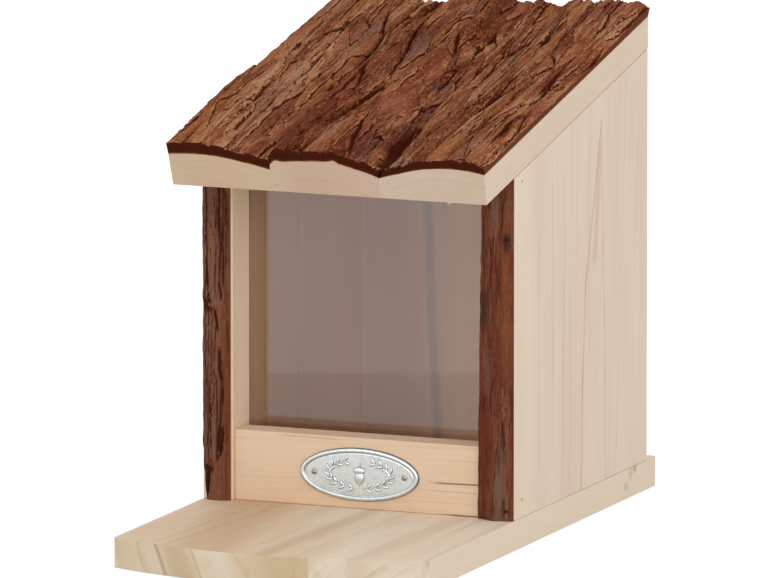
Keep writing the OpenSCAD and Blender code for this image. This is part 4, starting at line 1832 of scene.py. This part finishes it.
@dataclass(frozen=True)
class StripShape:
    """One bark strip and what lies on it.

    Attributes:
        side: Its side.
        left: Place of its left edge.
        right: Place of its right edge.
        fine: Strength of its fibres.
        relief: Sizes of its fissures and flakes.
        patches: Places with another colour.
        plates: Thicker plates on it.
        furrows: Dark grooves on it.
        drift: Height and shift of its left edge, from the lower end to the upper one.
    """

    side: str
    left: float
    right: float
    fine: float
    relief: Relief
    patches: tuple[Patch, ...]
    plates: tuple[RaisedPlate, ...]
    furrows: tuple[Furrow, ...]
    drift: Line

    def step(self, x: float, z: float) -> tuple[float, float, float]:
        """What the thicker plates and the furrows do to a place.

        Args:
            x: Place across the strip.
            z: Height.

        Returns:
            The lift, the painted shade along the plates' borders, below their ends and in the furrows, and how much
            the place is on a plate.
        """
        lift, shade, on = 0.0, 0.0, 0.0
        for plate in self.plates:
            side, ends = plate.inside(x, z)
            share = ease(-0.4, 0.4, side) * ease(-4.0, 4.0, ends)
            lift = max(lift, plate.lift * share)
            # Painted shade: a dark line along the plate's border and a painted shadow just below its ends.
            deep = blend(0.2, 1.0, ease(-0.3, 0.2, ripple(z / 13.0, x / 9.0, 65.0))) * ease(-3.0, 3.0, ends)
            shade = max(shade, deep * (1.0 - ease(0.15, 0.45 + 0.4 * deep, abs(side + 0.3))))
            shade = max(shade, 0.8 * ease(0.0, 1.0, side) * ease(-8.0, -2.0, ends) * (1.0 - ease(-2.0, 0.5, ends)))
            on = max(on, share)
        groove = max((furrow.at(x, z) for furrow in self.furrows), default=0.0)
        return lift - 0.9 * groove, max(shade, groove), on


LEFT_STRIP = StripShape(
    "left", -83.5, -69.0, 0.7,
    relief=Relief(
        41.0, tone=0.02, plate=(4.4, 120.0), flake=(3.2, 60.0), chip=(1.9, 40.0), bulge=0.3, rises=(0.5, 0.5, 0.4),
        fissure=0.7, fibre=0.10, ragged=0.35,
    ),
    patches=(
        Patch(Hue.RED, (-71.0, 70.0), (3.6, 85.0), 0.9),
        Patch(Hue.ORANGE, (-76.0, 111.0), (6.0, 9.0), 0.5),
        # Painted shade patches darken a band near the top and a spot near the lower end.
        Patch(Hue.PAINTED_SHADE, (-71.8, 150.0), (4.2, 48.0), 0.55),
        Patch(Hue.PAINTED_SHADE, (-80.5, 26.0), (4.0, 10.0), 0.9),
    ),
    plates=(
        RaisedPlate(((34.0, -76.0), (40.0, -73.6), (47.0, -72.7), (57.0, -72.5), (69.0, -72.6),
                     (76.0, -73.0), (88.0, -74.0), (95.0, -74.4), (106.0, -75.2), (114.0, -77.0)), 1.4),
        RaisedPlate(((116.0, -76.5), (122.0, -75.2), (134.0, -74.8), (142.0, -74.5), (155.0, -74.8),
                     (200.0, -74.8)), 1.1),
    ),
    furrows=(
        Furrow(((34.0, -75.6), (39.0, -73.4), (46.0, -72.2)), 0.6, 1.0),
        Furrow(((56.0, -81.2), (90.0, -81.4), (116.0, -81.0)), 0.5, 0.75),
        Furrow(((36.0, -79.8), (60.0, -79.8), (88.0, -79.6), (114.0, -79.2)), 0.4, 0.75),
        Furrow(((40.0, -78.2), (60.0, -78.0), (96.0, -77.6), (112.0, -77.2)), 0.4, 0.75),
        Furrow(((44.0, -76.4), (64.0, -76.2), (80.0, -76.6)), 0.35, 0.6),
        Furrow(((77.0, -76.2), (84.0, -76.4)), 0.8, 0.9),
        Furrow(((84.0, -76.4), (98.0, -75.8), (112.0, -75.4)), 0.4, 0.7),
        Furrow(((120.0, -81.5), (150.0, -82.0), (186.0, -81.8)), 0.4, 0.25),
        Furrow(((140.0, -78.6), (165.0, -79.0), (186.0, -78.4)), 0.4, 0.30),
        Furrow(((116.0, -73.4), (130.0, -74.0), (146.0, -73.6), (160.0, -74.2), (186.0, -74.0)), 0.7, 0.85),
        Furrow(((122.0, -72.0), (150.0, -72.4), (168.0, -71.8), (186.0, -72.2)), 0.5, 0.75),
        Furrow(((132.0, -70.8), (152.0, -70.4), (180.0, -70.8)), 0.5, 0.6),
        Furrow(((74.0, -70.2), (100.0, -70.4), (128.0, -70.2)), 0.4, 0.6),
        Furrow(((15.0, -81.4), (22.0, -81.0), (32.0, -80.2)), 1.6, 0.9),
    ),
    drift=((15.0, 2.4), (24.0, 1.0), (34.0, 0.0)),
)
RIGHT_STRIP = StripShape(
    "right", 66.5, 83.5, 0.5,
    relief=Relief(
        57.0, tone=-0.36, plate=(5.5, 110.0), flake=(4.5, 70.0), chip=(2.4, 34.0), bulge=0.3, rises=(0.5, 0.4, 0.2),
        fissure=0.5, fibre=0.08, ragged=0.5,
    ),
    patches=(
        Patch(Hue.ORANGE, (80.0, 130.0), (5.0, 60.0), 0.75),
        Patch(Hue.RED, (77.0, 96.0), (7.0, 22.0), 0.6),
        Patch(Hue.RED, (70.0, 50.0), (5.0, 50.0), 0.9),
        Patch(Hue.RED, (69.0, 165.0), (3.0, 28.0), 0.7),
        Patch(Hue.RED, (82.0, 42.0), (1.8, 20.0), 0.9),
        Patch(Hue.GREY, (77.0, 30.0), (5.0, 34.0), 1.2, 0.06),
        Patch(Hue.GREY, (78.0, 16.0), (4.0, 4.0), 1.3, 0.25),
        Patch(Hue.GREY, (74.5, 172.0), (3.0, 17.0), 1.0),
        Patch(Hue.GREY, (69.5, 90.0), (4.0, 18.0), 0.8),
        # Painted shade patches darken a few small places on the strip.
        Patch(Hue.PAINTED_SHADE, (80.2, 156.0), (2.6, 8.0), 1.2),
        Patch(Hue.PAINTED_SHADE, (67.5, 122.0), (3.4, 18.0), 0.9),
        Patch(Hue.PAINTED_SHADE, (77.5, 46.0), (1.6, 12.0), 0.8),
        Patch(Hue.PAINTED_SHADE, (78.5, 21.0), (2.2, 8.0), 0.9),
        Patch(Hue.PAINTED_SHADE, (72.5, 20.0), (2.2, 7.0), 0.6),
    ),
    plates=(),
    furrows=(
        Furrow(((122.0, 69.6), (132.0, 71.2), (146.0, 72.2), (162.0, 73.8)), 0.8, 0.55),
        Furrow(((122.0, 74.8), (136.0, 75.8), (150.0, 74.8), (160.0, 75.6)), 0.8, 0.55),
        Furrow(((134.0, 68.2), (150.0, 67.4), (172.0, 68.0)), 0.9, 0.6),
        Furrow(((150.0, 71.0), (164.0, 70.2), (182.0, 71.0)), 0.7, 0.5),
        Furrow(((160.0, 77.4), (172.0, 78.4), (182.0, 78.0)), 0.9, 0.6),
        Furrow(((66.0, 72.6), (80.0, 72.2), (90.0, 75.0)), 0.9, 0.55),
        Furrow(((66.0, 67.4), (80.0, 67.8)), 0.9, 0.55),
        Furrow(((30.0, 70.2), (46.0, 69.4), (62.0, 70.0)), 0.8, 0.5),
        Furrow(((18.0, 73.6), (34.0, 73.8), (50.0, 75.4), (66.0, 77.2)), 0.7, 0.6),
        Furrow(((15.0, 82.0), (40.0, 80.6), (66.0, 78.2)), 0.7, 0.5),
    ),
    drift=((15.0, -2.0), (60.0, -1.7), (110.0, -1.2), (150.0, -0.5), (180.0, 0.0)),
)


@dataclass
class BarkStrips:
    """The bark strips on the front edges of the walls.

    Attributes:
        strips: The strips from left to right.
        front: Place of the walls' front edge.
        foot: Height of the base board's top.
        head: Height of the walls at their front edge.
        pitch: Slope of the roof in degrees.
        thickness: Thickness of a strip at its crown.
        round_radius: Radius of the strips' outer face.
        sunk: How far the mean skin lies under that face.
        end_gap: Gap at both ends of a strip.
        cell: Size of the cells that a strip is sculpted on.
    """

    strips: tuple[StripShape, ...] = (LEFT_STRIP, RIGHT_STRIP)
    front: float = -32.0
    foot: float = 15.0
    head: float = 188.0
    pitch: float = ROOF_PITCH
    thickness: float = 4.0
    round_radius: float = 13.0
    sunk: float = 0.4
    end_gap: float = 0.05
    cell: float = 0.45

    def build_strip(self, strip: StripShape, finishes: Sequence[bpy.types.Material]) -> None:
        """Sculpts one strip.

        Args:
            strip: The strip's shape.
            finishes: The skin and the sawn edges.
        """
        bm = bmesh.new()
        layers = bark_layers(bm)
        width = strip.right - strip.left
        cells = round(width / self.cell), round((self.head - self.foot) / self.cell)
        lower, upper = thick_grid(bm, *cells)
        slope = math.tan(math.radians(self.pitch))
        top = set(upper)
        for vert in lower + upper:
            z = blend(self.foot, self.head, vert.co.y)
            edge = stepped(strip.drift, z) + (0.5 * ripple(z / 6.0, strip.left, 73.0) if vert in top else 0.0)
            x = strip.left + width * vert.co.x + edge * (1.0 - vert.co.x)
            out = BARK_GAP
            if vert in top:
                off = x - (strip.left + strip.right) / 2.0
                arc = math.sqrt(max(self.round_radius**2 - off * off, 1.0))
                spot = strip.relief.at(x, z)
                lift, shade, on = strip.step(x, z)
                out = self.thickness - self.round_radius + arc - self.sunk
                out = max(out + spot.height + lift * ease(0.0, 3.0, x - strip.left), BARK_LEAST)
                tints = tints_at(strip.patches, x, z)
                tints[Hue.GREY] = max(tints.get(Hue.GREY, 0.0), 0.5 * on)
                # Painted shade of the plates and furrows joins the crevice shade; off the plates the crevice shade is
                # weaker.
                spot = spot._replace(crevice=max(spot.crevice * blend(0.35, 0.85, on), shade))
                paint(vert, layers, spot, tints)
            z = blend(self.foot + self.end_gap, self.head - self.end_gap - slope * out, vert.co.y)
            vert.co = Vector((x, self.front - out, z)) * MM
        for face in bm.faces:
            levels = {vert in top for vert in face.verts}
            face.smooth = levels == {True}
            face.material_index = 1 if len(levels) == 2 else 0
        put_together(strip.side + "_bark_strip", bm, finishes, Body.BOX, Make.SCULPTED)

    def build(self) -> None:
        """Builds both strips."""
        edge = BarkCut("bark_strip_edge", dark=(0.20, 0.090, 0.035), light=(0.36, 0.170, 0.070)).material()
        for strip in self.strips:
            skin = BarkSkin(
                "bark_strip_" + strip.side,
                tones=(
                    (0.085, 0.026, 0.015),
                    (0.132, 0.042, 0.022),
                    (0.172, 0.056, 0.028),
                    (0.208, 0.076, 0.040),
                    (0.235, 0.106, 0.063),
                ),
                # Colour of the painted shade in the strip's crevices.
                crevice=(0.045, 0.010, 0.004), motley=0.25, fine=strip.fine,
                hues=(
                    (Hue.ORANGE, (0.200, 0.062, 0.022)),
                    (Hue.RED, (0.160, 0.040, 0.022)),
                    (Hue.GREY, (0.165, 0.090, 0.062)),
                    (Hue.GOLD, (0.340, 0.170, 0.070)),
                    # Colour of the painted shade patches.
                    (Hue.PAINTED_SHADE, (0.040, 0.018, 0.018)),
                ),
                pitch=None,
            )
            self.build_strip(strip, [skin.material(), edge])


@dataclass
class NamePlate:
    """The stamped oval plate and its two nails.

    Attributes:
        length: Length of the oval.
        height: Height of the oval.
        seat: Place of the rail's front face.
        middle: Height of the oval's centre.
        rim: Insets and lifts that shape the rolled rim, from the outside in.
        nails: Distance between the nails.
        head: Radii of a nail's head.
        head_seat: Height of a head's middle above the sunk field.
        wreath: Half the width and height of the wreath.
        leaves: Number of leaf pairs on each branch.
        first_leaf: Angle of the lowest pair round the wreath, in degrees.
        leaf_step: Angle from one pair to the next, in degrees.
        twig: Turn, reach and radii of the twig and the two leaves of a pair.
        nut: Radii and place up the plate of the acorn's nut, cup, tip and stalk.
    """

    length: float = 64.0
    height: float = 27.0
    seat: float = -30.0
    middle: float = 32.5
    rim: Line = (
        (0.0, 0.55), (0.25, 0.45), (0.45, 0.35), (0.7, 0.12), (0.7, -0.12), (0.3, -0.5), (0.2, -0.2), (0.3, 0.0),
        (0.25, 0.2),
    )
    nails: float = 48.6
    head: Point = (1.5, 1.5, 0.85)
    head_seat: float = 0.1
    wreath: tuple[float, float] = (16.5, 7.2)
    leaves: int = 9
    first_leaf: float = -78.0
    leaf_step: float = 17.0
    twig: tuple[tuple[float, float, Point], ...] = (
        (0.0, 0.0, (1.9, 0.3, 0.4)), (0.6, 2.0, (2.0, 0.8, 0.6)), (-0.6, 2.0, (2.0, 0.8, 0.6)),
    )
    nut: tuple[tuple[Point, float], ...] = (
        ((2.6, 3.5, 0.75), -1.6), ((3.2, 2.0, 0.95), 1.9), ((0.4, 0.8, 0.45), -5.2), ((0.5, 1.5, 0.55), 4.6),
    )

    def to_seat(self, bm: BMesh) -> None:
        """Stands a shape that was modelled flat, face up, against the rail.

        Args:
            bm: The shape in millimetres.
        """
        turn = Matrix.Rotation(math.radians(90.0), 4, "X")
        bmesh.ops.transform(bm, matrix=Matrix.Scale(MM, 4) @ turn, verts=bm.verts)
        bmesh.ops.translate(bm, vec=Vector((0.0, self.seat, self.middle)) * MM, verts=bm.verts)

    def oval(self, bm: BMesh) -> float:
        """Adds the plate with its rolled rim and sunk field.

        Args:
            bm: An empty bmesh.

        Returns:
            Height of the sunk field.
        """
        made = bmesh.ops.create_circle(bm, cap_ends=True, segments=128, radius=1.0)
        bmesh.ops.scale(bm, vec=(self.length / 2.0, self.height / 2.0, 1.0), verts=made["verts"])
        face = made["verts"][0].link_faces[0]
        if face.normal.z < 0.0:
            face.normal_flip()
        grown = bmesh.ops.extrude_face_region(bm, geom=[face], use_keep_orig=True)
        face = next(item for item in grown["geom"] if isinstance(item, bmesh.types.BMFace))
        for inset, lift in self.rim:
            if inset:
                bmesh.ops.inset_individual(bm, faces=[face], thickness=inset, depth=0.0, use_even_offset=True)
            bmesh.ops.translate(bm, vec=(0.0, 0.0, lift), verts=face.verts)
        for other in bm.faces:
            other.smooth = len(other.verts) == 4
        return face.verts[0].co.z

    @staticmethod
    def dome(bm: BMesh, centre: Point, radii: Point, turn: float = 0.0) -> None:
        """Adds a dome whose lower half lies in the plate.

        Args:
            bm: The plate or its nails.
            centre: Its centre.
            radii: Its radii.
            turn: How far it is turned about the plate's normal, in radians.
        """
        ball = bmesh.ops.create_uvsphere(bm, u_segments=24, v_segments=12, radius=1.0)["verts"]
        place = Matrix.Translation(centre) @ Matrix.Rotation(turn, 4, "Z") @ Matrix.Diagonal((*radii, 1.0))
        bmesh.ops.transform(bm, matrix=place, verts=ball)
        for face in {face for vert in ball for face in vert.link_faces}:
            face.smooth = True

    def branch(self, bm: BMesh, side: int, floor: float) -> None:
        """Adds one leafy branch of a wreath in low relief.

        Args:
            bm: The plate.
            side: -1 for the left branch and 1 for the right one.
            floor: Height of the sunk field.
        """
        wide, high = self.wreath
        for step in range(self.leaves):
            angle = math.radians(self.first_leaf + self.leaf_step * step)
            x, y = wide * math.cos(angle), high * math.sin(angle)
            along = math.atan2(high * math.cos(angle), -wide * math.sin(angle))
            for turn, reach, radii in self.twig:
                way = along + turn
                centre = side * (x + reach * math.cos(way)), y + reach * math.sin(way), floor
                self.dome(bm, centre, radii, way if side > 0 else math.pi - way)

    def acorn(self, bm: BMesh, floor: float) -> None:
        """Adds an acorn with its cup and stalk in low relief.

        Args:
            bm: The plate.
            floor: Height of the sunk field.
        """
        for radii, up in self.nut:
            self.dome(bm, (0.0, up, floor), radii)

    def build(self) -> None:
        """Builds the plate and its nails."""
        bm = bmesh.new()
        floor = self.oval(bm)
        for side in (-1, 1):
            self.branch(bm, side, floor)
        self.acorn(bm, floor)
        self.to_seat(bm)
        # The stamped figures' steep sides get painted shade and tarnish.
        metal = Metal(
            "plate_stamped", (0.835, 0.92, 0.965), (0.645, 0.72, 0.765), 0.32, rib=0.9, rib_depth=0.11, side_shade_and_tarnish=0.9
        ).material()
        put_together("name_plate", bm, [metal], Body.BOX, Make.STAMPED)
        bm = bmesh.new()
        for side in (-1, 1):
            self.dome(bm, (side * self.nails / 2.0, 0.0, floor + self.head_seat), self.head)
        self.to_seat(bm)
        nail = Metal("nail_worn", (0.40, 0.39, 0.36), (0.24, 0.23, 0.21), 0.30).material()
        put_together("plate_nails", bm, [nail], Body.BOX, Make.DOMED)


@dataclass
class Fittings:
    """Hinges, screws and brads: the CAD solids with softened edges and worn zinc.

    Attributes:
        edge: Rounding of the hinge leaves' edges.
    """

    edge: float = 0.15

    def build(self) -> None:
        """Builds the fittings."""
        zinc = Metal("zinc_plated", (0.66, 0.67, 0.67), (0.50, 0.50, 0.48), 0.34).material()
        dull = Metal("brad_dull", (0.30, 0.27, 0.24), (0.16, 0.13, 0.11), 0.55).material()
        rusty = Metal("nail_rusty", (0.060, 0.026, 0.016), (0.030, 0.012, 0.008), 0.75).material()
        aged = {"strip_nails": rusty, "rail_brads": dull}
        groups = {
            Body.BOX: (
                "left_hinge_body_leaf", "right_hinge_body_leaf", "left_hinge_pin", "right_hinge_pin",
                "hinge_body_screws", "base_screws", "strip_nails", "rail_brads",
            ),
            Body.ROOF: ("left_hinge_roof_leaf", "right_hinge_roof_leaf", "hinge_roof_screws"),
        }
        for body, nodes in groups.items():
            for node in nodes:
                bm = node_copy(node)
                if "leaf" in node:
                    soften(bm, self.edge, segments=2, shortest=1.5)
                put_together(node, bm, [aged.get(node, zinc)], body)


@dataclass
class Studio:
    """Floor, light and camera.

    Attributes:
        azimuth: Camera's turn to the right of the front, in degrees.
        elevation: Camera's height above the horizon, in degrees.
        distance: Distance from the camera to the aim.
        aim: Point that the camera is turned round.
        offset: How far the picture's centre lies from the aim, to the right and up.
        lens: Focal length.
        film: Width of the picture behind the lens.
        sight: How far the camera sees.
        glow: Strength of the even light from all round.
        daylight: Colour of that light.
        floor_size: Distance from the floor's middle to its sides.
        floor_gap: How far the floor lies under the feeder, so that their faces stay apart.
        lamps: Place, size and power of each soft lamp.
    """

    azimuth: float = 22.104
    elevation: float = 9.76
    distance: float = 8000.0
    aim: Point = (0.0, 9.0, 120.0)
    offset: tuple[float, float] = (-2.169, 0.341)
    lens: float = 746.6
    film: float = 36.0
    sight: float = 100_000.0
    glow: float = 0.86
    daylight: Colour = (1.0, 0.985, 0.965)
    floor_size: float = 6000.0
    floor_gap: float = 0.2
    lamps: tuple[tuple[Point, float, float], ...] = (
        ((1900.0, -691.0, 900.0), 1200.0, 5.0),
        ((700.0, -2191.0, 650.0), 1300.0, 12.0),
    )

    def build_world(self) -> None:
        """Sets up the even light and the white surround."""
        world = bpy.data.worlds.new("studio")
        bpy.context.scene.world = world
        shader = Shader(world)
        dim = shader.node("ShaderNodeBackground", None, {"Color": self.daylight, "Strength": self.glow})
        white = shader.node("ShaderNodeBackground", None, {"Color": WHITE, "Strength": 1.0})
        seen, mirrored, passed = shader.rays()
        shown = seen.larger(mirrored).larger(passed)
        shader.show(shader.node("ShaderNodeMixShader", None, {0: shown, 1: dim, 2: white}))

    def build_floor(self) -> None:
        """Lays the pale floor."""
        bm = bmesh.new()
        bmesh.ops.create_grid(bm, x_segments=1, y_segments=1, size=self.floor_size * MM)
        bmesh.ops.translate(bm, vec=(0.0, 0.0, -self.floor_gap * MM), verts=bm.verts)
        floor = mesh_object("studio_floor", bm, [FloorPaper("floor_paper").material()])

    def build_lamps(self) -> None:
        """Hangs the soft lamps."""
        for number, (place, size, power) in enumerate(self.lamps):
            data = bpy.data.lights.new(f"soft_lamp_{number}", "AREA")
            data.shape = "SQUARE"
            data.size = size * MM
            data.energy = power
            lamp = new_object(data.name, data)
            lamp.location = Vector(place) * MM
            lamp.rotation_euler = (Vector(self.aim) - Vector(place)).to_track_quat("-Z", "Y").to_euler()

    def build_camera(self) -> None:
        """Places the long-lens camera."""
        turn, rise = math.radians(self.azimuth), math.radians(self.elevation)
        right = Vector((math.cos(turn), math.sin(turn), 0.0))
        back = Vector((math.sin(turn) * math.cos(rise), -math.cos(turn) * math.cos(rise), math.sin(rise)))
        up = back.cross(right)
        centre = Vector(self.aim) + right * self.offset[0] + up * self.offset[1]
        data = bpy.data.cameras.new("camera")
        data.sensor_width = self.film
        data.lens = self.lens
        data.clip_end = self.sight * MM
        camera = new_object("camera", data)
        camera.location = (centre + back * self.distance) * MM
        camera.rotation_euler = back.to_track_quat("Z", "Y").to_euler()
        bpy.context.scene.camera = camera

    def build(self) -> None:
        """Sets up the studio."""
        bpy.context.scene.view_settings.view_transform = "Standard"
        self.build_world()
        self.build_floor()
        self.build_lamps()
        self.build_camera()


def main() -> None:
    """Builds the studio and every sub-assembly."""
    logging.basicConfig(level=logging.INFO, format="%(name)s: %(message)s")
    parts = (Studio(), BaseBoard(), BoxWalls(), FrontFrame(), BarkStrips(), NamePlate(), Fittings(), Roof())
    for part in parts:
        part.build()
        LOG.info("%s done", type(part).__name__)
    bpy.context.view_layer.update()


if __name__ == "__main__":
    main()
